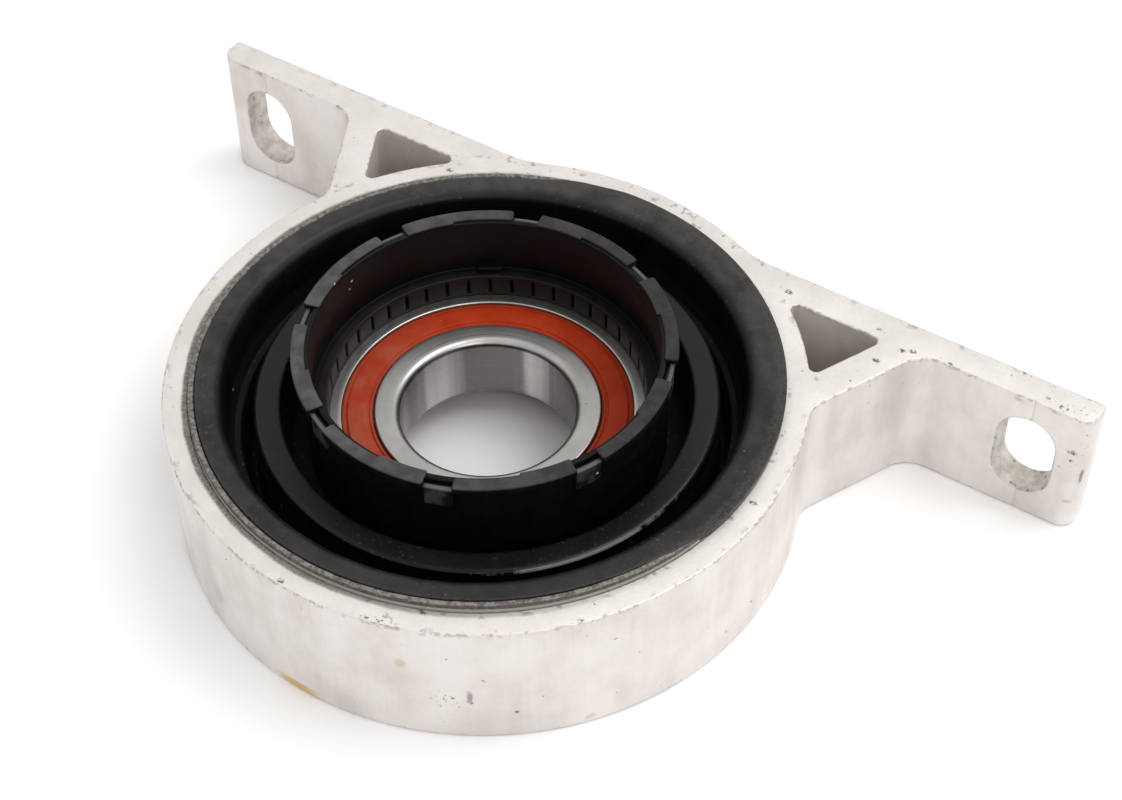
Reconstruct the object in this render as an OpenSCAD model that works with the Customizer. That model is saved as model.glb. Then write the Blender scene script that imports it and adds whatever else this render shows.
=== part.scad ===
// Driveshaft centre bearing: an aluminium bracket carries a sealed ball bearing in a rubber ring.
// Millimetres. The origin is the middle of the bearing's bore, +Z runs along the shaft towards the
// dust collar, +X runs along the bracket's bar and +Y points at the bar.

/* [Bracket] */
// Radius of the bore that takes the steel sleeve
ring_bore_r = 49.6; // [49:0.1:50.4]
// Wall of the bracket's ring
ring_wall_t = 4.4; // [3.8:0.1:6]
// Sawn length of the extrusion, which is the bracket's height
bracket_h = 26.7; // [24:0.1:30]
// Distance from the shaft's axis to the flat back of the bar
bar_back_y = 48.5; // [47.5:0.1:50]
// Thickness of the ears
ear_t = 5.6; // [4.5:0.1:6.2]
// How much thicker the bar is beside the windows than the ears
bar_step = 0.6; // [0.3:0.1:1.4]
// Distance between the middles of the two bolt slots
slot_spacing = 160; // [152:1:170]
// Distance from a bolt slot's middle to its ear's end
ear_end = 10.6; // [9:0.1:14]
// Width of a bolt slot
slot_w = 10.4; // [8:0.1:12]
// Length of a bolt slot, along the shaft
slot_len = 17; // [13:0.1:20]
// Distance from the middle to where a gusset's outer face meets the ear
gusset_x = 59.5; // [58:0.1:62]
// Lean of the gussets away from the Y axis, in degrees
gusset_lean = 25.8; // [23:0.1:28]
// Thickness of the gussets
gusset_t = 6; // [5:0.1:7]
// Radius between a gusset and its ear
gusset_fillet_r = 6; // [3:0.5:8]
// Radius between a gusset and the ring
ring_fillet_r = 5; // [3:0.5:7]
// Radius between the ring and the back of the bar
back_fillet_r = 18; // [10:1:25]
// Radius of the windows' corners
window_r = 1.2; // [0.8:0.1:1.6]
// Radius of the ears' front corners
ear_corner_r = 3; // [1:0.1:4]
// Chamfer at both mouths of the bore
bore_chamfer = 0.5; // [0.2:0.1:0.8]

/* [Bearing] */
// Bore of the inner ring, where the shaft is pressed in
bearing_bore_d = 30; // [28:0.5:31]
// Outside diameter of the outer ring
bearing_outer_d = 55; // [54:0.5:56]
// Width of both rings
bearing_w = 13; // [12:0.5:14]
// Height of the bearing's lower face above the bracket's lower face
bearing_rise = 6; // [5:0.1:7]
// Diameter of a ball, as a share of the mean of the rings' height and width
ball_share = 0.5603; // [0.54:0.0001:0.565]
// Number of balls
ball_count = 11; // [9:1:11]
// Distance from the pitch circle in to the inner ring's land, as a share of a ball's diameter
inner_land_share = 0.273; // [0.25:0.001:0.3]
// Distance from the pitch circle out to the outer ring's shoulders, as a share of a ball's diameter
outer_land_share = 0.336; // [0.3:0.001:0.36]
// Distance from the pitch circle out to the seats of the seals, as a share of a ball's diameter
seal_seat_share = 0.497; // [0.46:0.001:0.54]
// Thickness of the cage's sheet
cage_t = 0.7; // [0.5:0.1:0.8]

/* [Sleeves] */
// Wall of the outer sleeve
outer_sleeve_t = 1; // [0.8:0.1:1.4]
// Height of the outer sleeve's upper edge above the bracket's upper face
outer_sleeve_rise = 1.2; // [0.8:0.1:1.6]
// Wall of the inner sleeve
inner_sleeve_t = 1.5; // [1.2:0.1:1.8]

/* [Rubber] */
// Width of the flange, from the outer sleeve to its rounded inner lip
flange_w = 4.3; // [3.8:0.1:4.8]
// How far the small step low in the groove stands in from the lip
step_w = 2.7; // [2.3:0.1:3.1]
// Width of the raised crest
crest_w = 4.3; // [3.8:0.1:4.8]
// Where the crest stands in its space, from 0 at the inner sleeve to 1 at the step
crest_place = 0.675; // [0.6:0.005:0.75]
// Depth of the crest below the bracket's upper face
crest_drop = 4.3; // [3.5:0.1:6]
// Thickness of the web that grips the inner sleeve
web_t = 6.4; // [5:0.1:7]

/* [Dust collar] */
// Height of the collar above the bracket's upper face
collar_rise = 8; // [6:0.1:10]
// Thickness of the wall
collar_wall_t = 1.5; // [1.2:0.1:2]
// How far the lip stands out from the wall
collar_lip_w = 1.4; // [1:0.1:2]
// Thickness of the lip
collar_lip_t = 1.6; // [1.2:0.1:2]
// Number of notches, each with a snap tab below it
notch_count = 8; // [6:1:10]
// Width of a notch
notch_w = 4.6; // [3:0.1:6]
// Turn of the first notch from the X axis, in degrees
notch_turn = 20.2; // [0:0.1:45]
// Height of the inner band above the bearing
band_h = 4.5; // [3.5:0.1:6]
// Number of narrow slots round the inner band
band_slot_count = 44; // [24:1:52]
// Turn of the locating tooth from the X axis, in degrees
tooth_turn = 122.7; // [100:0.1:140]

/* [Hidden] */
$fn = 120;
// How far joined pieces reach into each other.
over = 0.4;
// How far a fillet's arc cuts past the faces that it joins, so that it meets each at a clear edge.
nip = 0.01;

bearing_bore_r = bearing_bore_d / 2;
bearing_outer_r = bearing_outer_d / 2;
bearing_half_w = bearing_w / 2;
bore_edge = 1;
ring_edge = 0.6;
land_edge = 0.3;
rings_h = bearing_outer_r - bearing_bore_r;
ball_d = ball_share * (rings_h + bearing_w) / 2;
ball_r = ball_d / 2;
pitch_r = (bearing_bore_r + bearing_outer_r) / 2;
inner_land_r = pitch_r - inner_land_share * ball_d;
outer_land_r = pitch_r + outer_land_share * ball_d;
seal_seat_r = pitch_r + seal_seat_share * ball_d;
race_gap = 0.05;
race_r = ball_r + race_gap;
seal_t = 1.2;
seal_recess = 0.3;
seal_lip_gap = 0.1;
seal_end_gap = 0.1;
seal_depth = seal_t + seal_recess + seal_end_gap;
seal_groove_w = 0.3;
seal_groove_depth = 0.25;
seal_groove_inset = 0.8;
seal_in_r = inner_land_r + seal_lip_gap;
pocket_gap = 0.08;
pocket_r = ball_r + pocket_gap;
cage_half_w = 1.3;
cage_in_r = pitch_r - cage_half_w;
cage_out_r = pitch_r + cage_half_w;
rivet_r = 0.5;
rivet_head_r = 0.9;
rivet_head_t = 0.35;

bracket_bottom_z = -bearing_half_w - bearing_rise;
bracket_top_z = bracket_bottom_z + bracket_h;
ring_outer_r = ring_bore_r + ring_wall_t;
half_length = slot_spacing / 2 + ear_end;
ear_front_y = bar_back_y - ear_t;
window_y = ear_front_y - bar_step;
slot_z = bracket_bottom_z + bracket_h / 2;
gusset_dir = [-sin(gusset_lean), -cos(gusset_lean)];
gusset_out = [cos(gusset_lean), -sin(gusset_lean)];
gusset_across = [gusset_t / cos(gusset_lean), 0];
gusset_corner = [gusset_x, ear_front_y];
window_corner = gusset_corner + gusset_dir * (bar_step / cos(gusset_lean)) - gusset_across;

outer_sleeve_in_r = ring_bore_r - outer_sleeve_t;
outer_sleeve_inset = 0.7;
outer_sleeve_bottom_z = bracket_bottom_z + outer_sleeve_inset;
outer_sleeve_top_z = bracket_top_z + outer_sleeve_rise;
inner_sleeve_out_r = bearing_outer_r + inner_sleeve_t;
inner_sleeve_foot_w = 1.9;
inner_sleeve_bottom_z = -bearing_half_w - inner_sleeve_t;

bond_gap = 0.05;
hub_r = inner_sleeve_out_r + bond_gap;
lip_r = outer_sleeve_in_r - flange_w;
step_r = lip_r - step_w;
crest_room = step_r - inner_sleeve_out_r - crest_w;
crest_inner_r = inner_sleeve_out_r + crest_place * crest_room;
crest_outer_r = crest_inner_r + crest_w;
flange_flat = 1;
flange_drop = 0.1;
flange_fall = 0.2;
flange_top_z = outer_sleeve_top_z - flange_drop;
lip_z = flange_top_z - flange_fall;
lip_round_r = 1.2;
leg_lean = 1;
step_drop = 9.2;
step_fall = 0.3;
step_z = bracket_top_z - step_drop;
groove_drop = 17.5;
groove_floor_t = 2.6;
groove_z = bracket_top_z - groove_drop;
wall_lean = 0.4;
crest_z = bracket_top_z - crest_drop;
crest_round_r = 0.7;
crest_top_t = 6;
web_inset = 0.7;
web_edge = 1.5;
web_bottom_z = inner_sleeve_bottom_z + web_inset;
web_top_z = web_bottom_z + web_t;
hollow_r = (crest_outer_r + crest_inner_r) / 2;
hollow_half_w = 0.9;
hollow_top_half_w = 0.3;
hollow_rise = 2.5;
skin_t = 2.2;
skin_shoulder = 0.8;
skin_inset = 1.2;
skin_bottom_z = bracket_bottom_z + skin_inset;

collar_ease = 0.1;
collar_in_r = inner_sleeve_out_r + collar_ease;
collar_wall_r = collar_in_r + collar_wall_t;
collar_lip_r = collar_wall_r + collar_lip_w;
collar_top_z = bracket_top_z + collar_rise;
collar_lip_z = collar_top_z - collar_lip_t;
skirt_gap = 0.9;
collar_skirt_z = web_top_z + skirt_gap;
band_overhang = 0.7;
band_r = bearing_outer_r - band_overhang;
band_top_z = bearing_half_w + band_h;
band_chamfer = 0.6;
band_slot_w = 0.6;
band_slot_depth = 1.2;
band_slot_rise = 0.5;
band_slot_z = bearing_half_w + band_slot_rise;
tooth_w = 4.2;
tooth_h = 1.2;
notch_bite = 0.5;
notch_root_r = collar_wall_r - notch_bite;
notch_floor = 0.3;
notch_floor_z = collar_lip_z - notch_floor;
tab_reach = 0.6;
tab_root = 0.3;
tab_rise = 0.65;
tab_r = collar_wall_r + tab_reach;
tab_top_z = notch_floor_z + tab_rise;
tab_h = 3.9;
tab_side_gap = 0.2;
tab_w = notch_w - 2 * tab_side_gap;

aluminium = [0.86, 0.85, 0.82];
steel = [0.72, 0.72, 0.72];
black_rubber = [0.12, 0.12, 0.13];
black_plastic = [0.16, 0.16, 0.17];
seal_orange = [0.67, 0.24, 0.12];

// Unit vector along v.
function unit(v) = v / norm(v);

// Distance along direction d from point p to the circle of radius r round the origin.
function to_circle(p, d, r) = -(p * d) - sqrt(pow(p * d, 2) - (p * p - r * r));

// Angle of ball number i.
function ball_angle(i) = 360 / ball_count * (i - 0.5);

// The sliver between a corner at c, whose edges run along u and v, and an arc of radius r in it.
// Added to an inner corner it is a fillet; taken from an outer corner it rounds that corner.
module corner_piece(c, u, v, r) {
    half = acos(u * v) / 2;
    middle = unit(u + v);
    centre = c + middle * (r / sin(half));
    reach = r / tan(half);
    difference() {
        polygon([c - middle * over, c + u * reach, centre, c + v * reach]);
        translate(centre) circle(r = r + nip);
    }
}

// The same sliver between the ring's outer circle and the line through p along d, whose open side
// is along n.
module ring_corner_piece(p, d, n, r) {
    start = p + n * r;
    centre = start + d * to_circle(start, d, ring_outer_r + r);
    meeting = p + d * to_circle(p, d, ring_outer_r);
    inside = unit(d - n) * over;
    difference() {
        polygon([meeting + inside, centre - n * r, centre, unit(centre) * (ring_outer_r - over)]);
        translate(centre) circle(r = r + nip);
    }
}

// A plan drawn at the origin's height, given the bracket's height.
module tall() translate([0, 0, bracket_bottom_z]) linear_extrude(bracket_h) children();

module gusset() {
    foot = gusset_corner
        + gusset_dir * (to_circle(gusset_corner, gusset_dir, ring_outer_r) + over);
    root_y = ear_front_y + ear_t / 2;
    tall() polygon([gusset_corner, foot, foot - gusset_across, window_corner,
                    [window_corner[0], root_y], [gusset_x, root_y]]);
    tall() corner_piece(gusset_corner, [1, 0], gusset_dir, gusset_fillet_r);
    tall() ring_corner_piece(gusset_corner, gusset_dir, gusset_out, ring_fillet_r);
    tall() corner_piece(window_corner, [-1, 0], gusset_dir, window_r);
    tall() ring_corner_piece(window_corner, gusset_dir, -gusset_out, window_r);
    tall() ring_corner_piece(window_corner, [-1, 0], [0, -1], window_r);
}

module half_bar() {
    tall() difference() {
        translate([-over, ear_front_y]) square([half_length + over, ear_t]);
        corner_piece([half_length, ear_front_y], [-1, 0], [0, 1], ear_corner_r);
    }
    tall() translate([-over, window_y]) square([gusset_x - gusset_t / 2, bar_step + over]);
    tall() ring_corner_piece([half_length, bar_back_y], [-1, 0], [0, 1], back_fillet_r);
}

module bolt_slot() {
    straight = slot_len - slot_w;
    translate([slot_spacing / 2, ear_front_y - 1, slot_z]) rotate([-90, 0, 0]) {
        for (end = [-1, 1]) translate([0, end * straight / 2, 0])
            cylinder(h = ear_t + 2, d = slot_w);
        translate([-slot_w / 2, -straight / 2, 0])
            cube([slot_w, straight, ear_t + 2]);
    }
}

module tall_bore() {
    translate([0, 0, bracket_bottom_z - 1]) cylinder(h = bracket_h + 2, r = ring_bore_r);
}

module bore_mouth() {
    translate([0, 0, -bore_chamfer])
        cylinder(h = bore_chamfer + over, r1 = ring_bore_r, r2 = ring_bore_r + bore_chamfer + over);
}

module bracket() color(aluminium) {
    difference() {
        union() {
            tall() circle(r = ring_outer_r);
            for (side = [0, 1]) mirror([side, 0, 0]) {
                half_bar();
                gusset();
            }
        }
        tall_bore();
        for (side = [0, 1]) mirror([side, 0, 0]) bolt_slot();
        translate([0, 0, bracket_top_z]) bore_mouth();
        translate([0, 0, bracket_bottom_z]) mirror([0, 0, 1]) bore_mouth();
    }
}

module outer_sleeve() color(steel) {
    rotate_extrude() translate([outer_sleeve_in_r, outer_sleeve_bottom_z])
        square([outer_sleeve_t, outer_sleeve_top_z - outer_sleeve_bottom_z]);
}

// Half section of the rubber: bonded rim, flange, groove with its step, crest and inner web.
module rubber_section() {
    rim_r = outer_sleeve_in_r;
    outer_leg_r = lip_r - leg_lean;
    hollow_top_z = crest_z - crest_top_t;
    hollow_outer_z = groove_z - groove_floor_t;
    difference() {
        polygon([
            [rim_r, flange_top_z], [rim_r - flange_flat, flange_top_z], [lip_r, lip_z],
            [outer_leg_r, step_z], [step_r, step_z - step_fall],
            [step_r - wall_lean, groove_z], [crest_outer_r + wall_lean, groove_z],
            [crest_outer_r, crest_z], [crest_inner_r, crest_z],
            [crest_inner_r - wall_lean, web_top_z], [hub_r, web_top_z],
            [hub_r, web_bottom_z], [crest_inner_r - web_edge, web_bottom_z],
            [hollow_r - hollow_half_w, web_bottom_z + hollow_rise],
            [hollow_r - hollow_top_half_w, hollow_top_z],
            [hollow_r + hollow_top_half_w, hollow_top_z],
            [hollow_r + hollow_half_w, hollow_outer_z], [step_r + skin_shoulder, hollow_outer_z],
            [rim_r - skin_t, skin_bottom_z], [rim_r, skin_bottom_z]]);
        corner_piece([crest_outer_r, crest_z], [-1, 0],
            unit([wall_lean, groove_z - crest_z]), crest_round_r);
        corner_piece([lip_r, lip_z], unit([rim_r - flange_flat - lip_r, flange_top_z - lip_z]),
            unit([outer_leg_r - lip_r, step_z - lip_z]), lip_round_r);
    }
}

module rubber_mount() color(black_rubber) rotate_extrude() rubber_section();

module inner_sleeve() color(steel) rotate_extrude() {
    translate([bearing_outer_r, inner_sleeve_bottom_z])
        square([inner_sleeve_t, bearing_half_w - inner_sleeve_bottom_z]);
    translate([bearing_outer_r - inner_sleeve_foot_w, inner_sleeve_bottom_z])
        square([inner_sleeve_foot_w + over, inner_sleeve_t]);
}

// Half section of the collar: skirt over the inner sleeve, band above the bearing, wall and lip.
module collar_section() {
    polygon([
        [band_r, bearing_half_w], [inner_sleeve_out_r, bearing_half_w],
        [inner_sleeve_out_r, collar_skirt_z], [collar_wall_r, collar_skirt_z],
        [collar_wall_r, collar_lip_z], [collar_lip_r, collar_lip_z],
        [collar_lip_r, collar_top_z], [collar_in_r, collar_top_z],
        [collar_in_r, band_top_z], [band_r, band_top_z - band_chamfer]]);
}

module dust_collar() color(black_plastic) {
    difference() {
        rotate_extrude() collar_section();
        for (i = [0 : notch_count - 1]) rotate(notch_turn + i * 360 / notch_count)
            translate([notch_root_r, -notch_w / 2, notch_floor_z])
                cube([collar_lip_r, notch_w, collar_lip_t + 1]);
        for (i = [0 : band_slot_count - 1]) rotate(i * 360 / band_slot_count)
            translate([band_r - 1, -band_slot_w / 2, band_slot_z])
                cube([band_slot_depth + 1, band_slot_w, band_top_z + 1 - band_slot_z]);
    }
    for (i = [0 : notch_count - 1]) rotate(notch_turn + i * 360 / notch_count)
        translate([notch_root_r + tab_root, -tab_w / 2, tab_top_z - tab_h])
            cube([tab_r - notch_root_r - tab_root, tab_w, tab_h]);
    rotate(tooth_turn) translate([band_r + tab_root, -tooth_w / 2, band_top_z - tooth_h])
        cube([collar_in_r - band_r, tooth_w, 2 * tooth_h]);
}

module raceway_section() translate([pitch_r, 0]) circle(r = race_r);

module outer_ring() color(steel) rotate_extrude() difference() {
    seat_z = bearing_half_w - seal_depth;
    polygon([
        [outer_land_r, -seat_z], [seal_seat_r, -seat_z], [seal_seat_r, -bearing_half_w],
        [bearing_outer_r - ring_edge, -bearing_half_w], [bearing_outer_r, ring_edge - bearing_half_w],
        [bearing_outer_r, bearing_half_w - ring_edge], [bearing_outer_r - ring_edge, bearing_half_w],
        [seal_seat_r, bearing_half_w], [seal_seat_r, seat_z], [outer_land_r, seat_z]]);
    raceway_section();
}

module inner_ring() color(steel) rotate_extrude() difference() {
    polygon([
        [bearing_bore_r + bore_edge, -bearing_half_w], [inner_land_r - land_edge, -bearing_half_w],
        [inner_land_r, land_edge - bearing_half_w], [inner_land_r, bearing_half_w - land_edge],
        [inner_land_r - land_edge, bearing_half_w], [bearing_bore_r + bore_edge, bearing_half_w],
        [bearing_bore_r, bearing_half_w - bore_edge], [bearing_bore_r, bore_edge - bearing_half_w]]);
    raceway_section();
}

// One seal, drawn for the upper side: a disc with a round groove near each edge.
module seal() {
    face_z = bearing_half_w - seal_recess;
    rotate_extrude() difference() {
        translate([seal_in_r, face_z - seal_t])
            square([seal_seat_r - seal_in_r, seal_t]);
        for (r = [seal_in_r + seal_groove_inset, seal_seat_r - seal_groove_inset])
            translate([r, face_z - seal_groove_depth])
                square([seal_groove_w, seal_groove_depth + 1]);
    }
}

module seal_top() color(seal_orange) seal();

module seal_bottom() color(seal_orange) mirror([0, 0, 1]) seal();

// One half of the cage, drawn for the upper side: a flat ring with a dome over each ball.
module cage_half() {
    dome_r = pocket_r + cage_t;
    difference() {
        intersection() {
            rotate_extrude() translate([cage_in_r, 0]) square([cage_out_r - cage_in_r, dome_r]);
            union() {
                cylinder(h = cage_t, r = cage_out_r + 1);
                for (i = [1 : ball_count]) rotate(ball_angle(i))
                    translate([pitch_r, 0, 0]) sphere(r = dome_r);
            }
        }
        for (i = [1 : ball_count]) rotate(ball_angle(i)) translate([pitch_r, 0, 0])
            sphere(r = pocket_r);
        for (i = [1 : ball_count]) rotate(ball_angle(i + 0.5)) translate([pitch_r, 0, -1])
            cylinder(h = cage_t + 2, r = rivet_r);
    }
}

module cage_top() color(steel) cage_half();

module cage_bottom() color(steel) mirror([0, 0, 1]) cage_half();

module cage_rivets() color(steel) {
    for (i = [1 : ball_count]) rotate(ball_angle(i + 0.5)) translate([pitch_r, 0, 0]) {
        cylinder(h = 2 * cage_t, r = rivet_r, center = true);
        for (side = [0, 1]) mirror([0, 0, side]) translate([0, 0, cage_t])
            cylinder(h = rivet_head_t, r = rivet_head_r);
    }
}

module ball(i) color(steel) rotate(ball_angle(i)) translate([pitch_r, 0, 0]) sphere(r = ball_r);

bracket();
outer_sleeve();
rubber_mount();
inner_sleeve();
dust_collar();
outer_ring();
inner_ring();
seal_top();
seal_bottom();
cage_top();
cage_bottom();
cage_rivets();
for (i = [1 : ball_count]) ball(i);
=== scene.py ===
# %% [markdown]
# A driveshaft centre bearing: a sawn aluminium bracket holds a rubber ring, and the rubber holds a
# sealed ball bearing with a plastic dust collar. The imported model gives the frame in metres, and this
# lesson dresses it: each visible node gets a surface with soft edges and a finish with real detail.

# %% Load the frame and keep its box
import math

import bmesh
import bpy
import numpy as np
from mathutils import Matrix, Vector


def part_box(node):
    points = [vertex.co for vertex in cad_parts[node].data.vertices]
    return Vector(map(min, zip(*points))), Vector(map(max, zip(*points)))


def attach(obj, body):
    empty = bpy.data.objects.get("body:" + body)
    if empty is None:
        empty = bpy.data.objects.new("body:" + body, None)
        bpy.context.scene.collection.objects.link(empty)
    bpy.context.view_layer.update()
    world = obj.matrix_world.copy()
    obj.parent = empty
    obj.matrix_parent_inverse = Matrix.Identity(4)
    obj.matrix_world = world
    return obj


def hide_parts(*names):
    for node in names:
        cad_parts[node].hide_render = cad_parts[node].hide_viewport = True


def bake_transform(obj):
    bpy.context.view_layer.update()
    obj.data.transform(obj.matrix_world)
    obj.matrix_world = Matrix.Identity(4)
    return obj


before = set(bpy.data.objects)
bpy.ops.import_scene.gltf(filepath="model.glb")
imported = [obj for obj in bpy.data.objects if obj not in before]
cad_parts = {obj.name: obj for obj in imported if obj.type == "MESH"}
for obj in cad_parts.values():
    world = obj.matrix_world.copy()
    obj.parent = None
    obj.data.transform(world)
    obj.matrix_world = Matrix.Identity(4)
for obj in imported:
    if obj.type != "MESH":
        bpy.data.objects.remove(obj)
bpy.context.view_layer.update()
MM = 0.001

# %% [markdown]
# The camera comes first, because all later choices are judged through it. It could be set by eye, but
# its place, turn and lens were worked out from the ring's circles and the bolt slots, so that the part
# lands in the picture as it does in the photograph.

# %% Camera
IMAGE_WIDTH_PX = 1122
FOCAL_PX = 2207.5
SENSOR_MM = 36.0
CAMERA_PLACE_MM = (148.10, -205.29, 282.76)
CAMERA_TURN_DEG = (42.586, 0.437, 32.517)
CLIP_NEAR_M = 0.01
CLIP_FAR_M = 20

camera_data = bpy.data.cameras.new("photo_camera")
camera_data.sensor_width = SENSOR_MM
camera_data.lens = FOCAL_PX / IMAGE_WIDTH_PX * SENSOR_MM
camera_data.clip_start = CLIP_NEAR_M
camera_data.clip_end = CLIP_FAR_M
camera = bpy.data.objects.new("photo_camera", camera_data)
camera.location = [value * MM for value in CAMERA_PLACE_MM]
camera.rotation_euler = [math.radians(value) for value in CAMERA_TURN_DEG]
bpy.context.scene.collection.objects.link(camera)
bpy.context.scene.camera = camera
print("lens:", round(camera_data.lens, 2), "mm")

# %% [markdown]
# The studio is a white table in even light. A bright world gives the soft fill, a large lamp overhead
# whitens the table and leans to the right, and a weak lamp at the front right lifts the walls there. A
# photographed studio could light it too, but a plain world and two lamps can each be set by hand.

# %% Floor
FLOOR_GAP = 0.0002
FLOOR_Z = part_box("bracket")[0].z - FLOOR_GAP
FLOOR_HALF = 3.0
FLOOR_COLOUR = (0.97, 0.965, 0.965, 1)
FLOOR_ROUGHNESS = 0.6


def make_floor():
    """A flat square just under the bracket's lower face."""
    corners = [(-1, -1), (1, -1), (1, 1), (-1, 1)]
    mesh = bpy.data.meshes.new("floor")
    mesh.from_pydata([(x * FLOOR_HALF, y * FLOOR_HALF, FLOOR_Z) for x, y in corners], [], [(0, 1, 2, 3)])
    floor = bpy.data.objects.new("floor", mesh)
    bpy.context.scene.collection.objects.link(floor)
    paint = bpy.data.materials.new("white_table")
    paint.use_nodes = True
    shader = paint.node_tree.nodes["Principled BSDF"]
    shader.inputs["Base Color"].default_value = FLOOR_COLOUR
    shader.inputs["Roughness"].default_value = FLOOR_ROUGHNESS
    mesh.materials.append(paint)


make_floor()
print("floor at", round(FLOOR_Z, 5))

# %% World and lamps
WORLD_COLOUR = (1, 0.995, 0.99, 1)
WORLD_STRENGTH = 0.84
OVERHEAD_PLACE = (0.35, 0.30, 0.90)
OVERHEAD_SIZE = 0.7
OVERHEAD_POWER = 4.3
FRONT_PLACE = (0.65, -0.42, 0.62)
FRONT_SIZE = 0.3
FRONT_POWER = 1.3


def make_lamp(name, place, size, power):
    """A square area lamp at place in metres, pointing at the part's middle."""
    data = bpy.data.lights.new(name, "AREA")
    data.size = size
    data.energy = power
    lamp = bpy.data.objects.new(name, data)
    lamp.location = place
    x, y, z = -np.array(place) / np.linalg.norm(place)
    lamp.rotation_euler = (math.acos(-z), 0, math.atan2(y, x) - math.pi / 2)
    lamp.visible_camera = False
    bpy.context.scene.collection.objects.link(lamp)


make_lamp("overhead_lamp", OVERHEAD_PLACE, OVERHEAD_SIZE, OVERHEAD_POWER)
make_lamp("front_lamp", FRONT_PLACE, FRONT_SIZE, FRONT_POWER)
world = bpy.data.worlds.new("white_studio")
world.use_nodes = True
background = world.node_tree.nodes["Background"]
background.inputs["Color"].default_value = WORLD_COLOUR
background.inputs["Strength"].default_value = WORLD_STRENGTH
bpy.context.scene.world = world
bpy.context.scene.view_settings.view_transform = "Standard"
print("lamps:", [lamp.name for lamp in bpy.data.lights])

# %% [markdown]
# Every new piece is a grid of points that numpy works out at once. Two helpers carry most of the
# work: one rounds the corners of an outline, and one spins a half section about the shaft's axis.

# %% Rounded outlines
SUPPORT_SHARE = 0.45


def pairs(a, b):
    """Points of a plane from two lists of coordinates, of which one may be a single number."""
    return np.stack(np.broadcast_arrays(a, b), -1)


def rounded(points, radii, steps=4, support=0.5):
    """Rounds each corner p of closed outlines to its radius r. With a and b the directions into and
    out of p and t the angle between them, the arc starts r tan(t/2) before p and turns by t about its
    centre. A support point before and after each arc keeps the flats flat. points is (..., n, 2)."""
    p = points[..., 0] + 1j * points[..., 1]
    gap_in = p - np.roll(p, 1, -1)
    gap_out = np.roll(p, -1, -1) - p
    a = gap_in / np.abs(gap_in)
    b = gap_out / np.abs(gap_out)
    turn = np.angle(b / a)
    back = radii * np.abs(np.tan(turn / 2))
    start = p - a * back
    centre = start + 1j * np.sign(turn) * a * radii
    sweep = np.exp(1j * turn[..., None] * np.linspace(0, 1, steps + 1))
    arc = centre[..., None] + (start - centre)[..., None] * sweep
    before = p - a * np.minimum(back + support, np.abs(gap_in) * SUPPORT_SHARE)
    after = p + b * np.minimum(back + support, np.abs(gap_out) * SUPPORT_SHARE)
    line = np.concatenate((before[..., None], arc, after[..., None]), -1)
    line = line.reshape(p.shape[:-1] + (-1,))
    return pairs(line.real, line.imag)


square = np.array([(0, 0), (1, 0), (1, 1), (0, 1)])
print("points on a square with rounded corners:", len(rounded(square, np.full(4, 0.1))))

# %% Spun grids
TURN_STEPS, FINE_TURN_STEPS, FINEST_TURN_STEPS = 288, 360, 576


def around(count):
    """Angles of a full turn, without the repeated last one."""
    return np.arange(count) * 2 * np.pi / count


def spun(section, angles):
    """Surface of revolution: point (r, z) of the section at angle t lies at (r cos t, r sin t, z).
    The section is (n, 2), or (angles, n, 2) where it changes on the way round."""
    r, z = np.broadcast_to(section, (len(angles),) + section.shape[-2:]).transpose(2, 0, 1)
    t = angles[:, None]
    return np.stack((r * np.cos(t), r * np.sin(t), z), -1)


def grid_faces(rows, columns, wrap_rows, wrap_columns):
    """Quads between neighbouring points of a grid, as indices into its flattened points."""
    i, j = np.meshgrid(np.arange(rows if wrap_rows else rows - 1),
                       np.arange(columns if wrap_columns else columns - 1), indexing="ij")
    below, right = (i + 1) % rows, (j + 1) % columns
    quads = (i * columns + j, below * columns + j, below * columns + right, i * columns + right)
    return np.stack(quads, -1).reshape(-1, 4)


def patch(grid, wrap_rows=True, wrap_columns=True, finish=0):
    """A grid of points in mm with the quads between them and the number of their finish."""
    return grid, grid_faces(*grid.shape[:2], wrap_rows, wrap_columns), finish


print("quads of a closed grid of 3 by 4 points:", len(grid_faces(3, 4, True, True)))

# %% [markdown]
# A piece often needs several such grids. They could stay loose shells, but a closed mesh takes light
# better and is sound as a solid, so shared points are merged and flat ends are filled. Each piece then
# takes the place of its CAD node and, where a body is given, rides on that node's body.

# %% From grids to pieces
MERGE_M = 2e-6
SLIVER_M = 1e-6
SHARP_ANGLE = math.radians(38)
CAP_FINISH = 1


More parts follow.
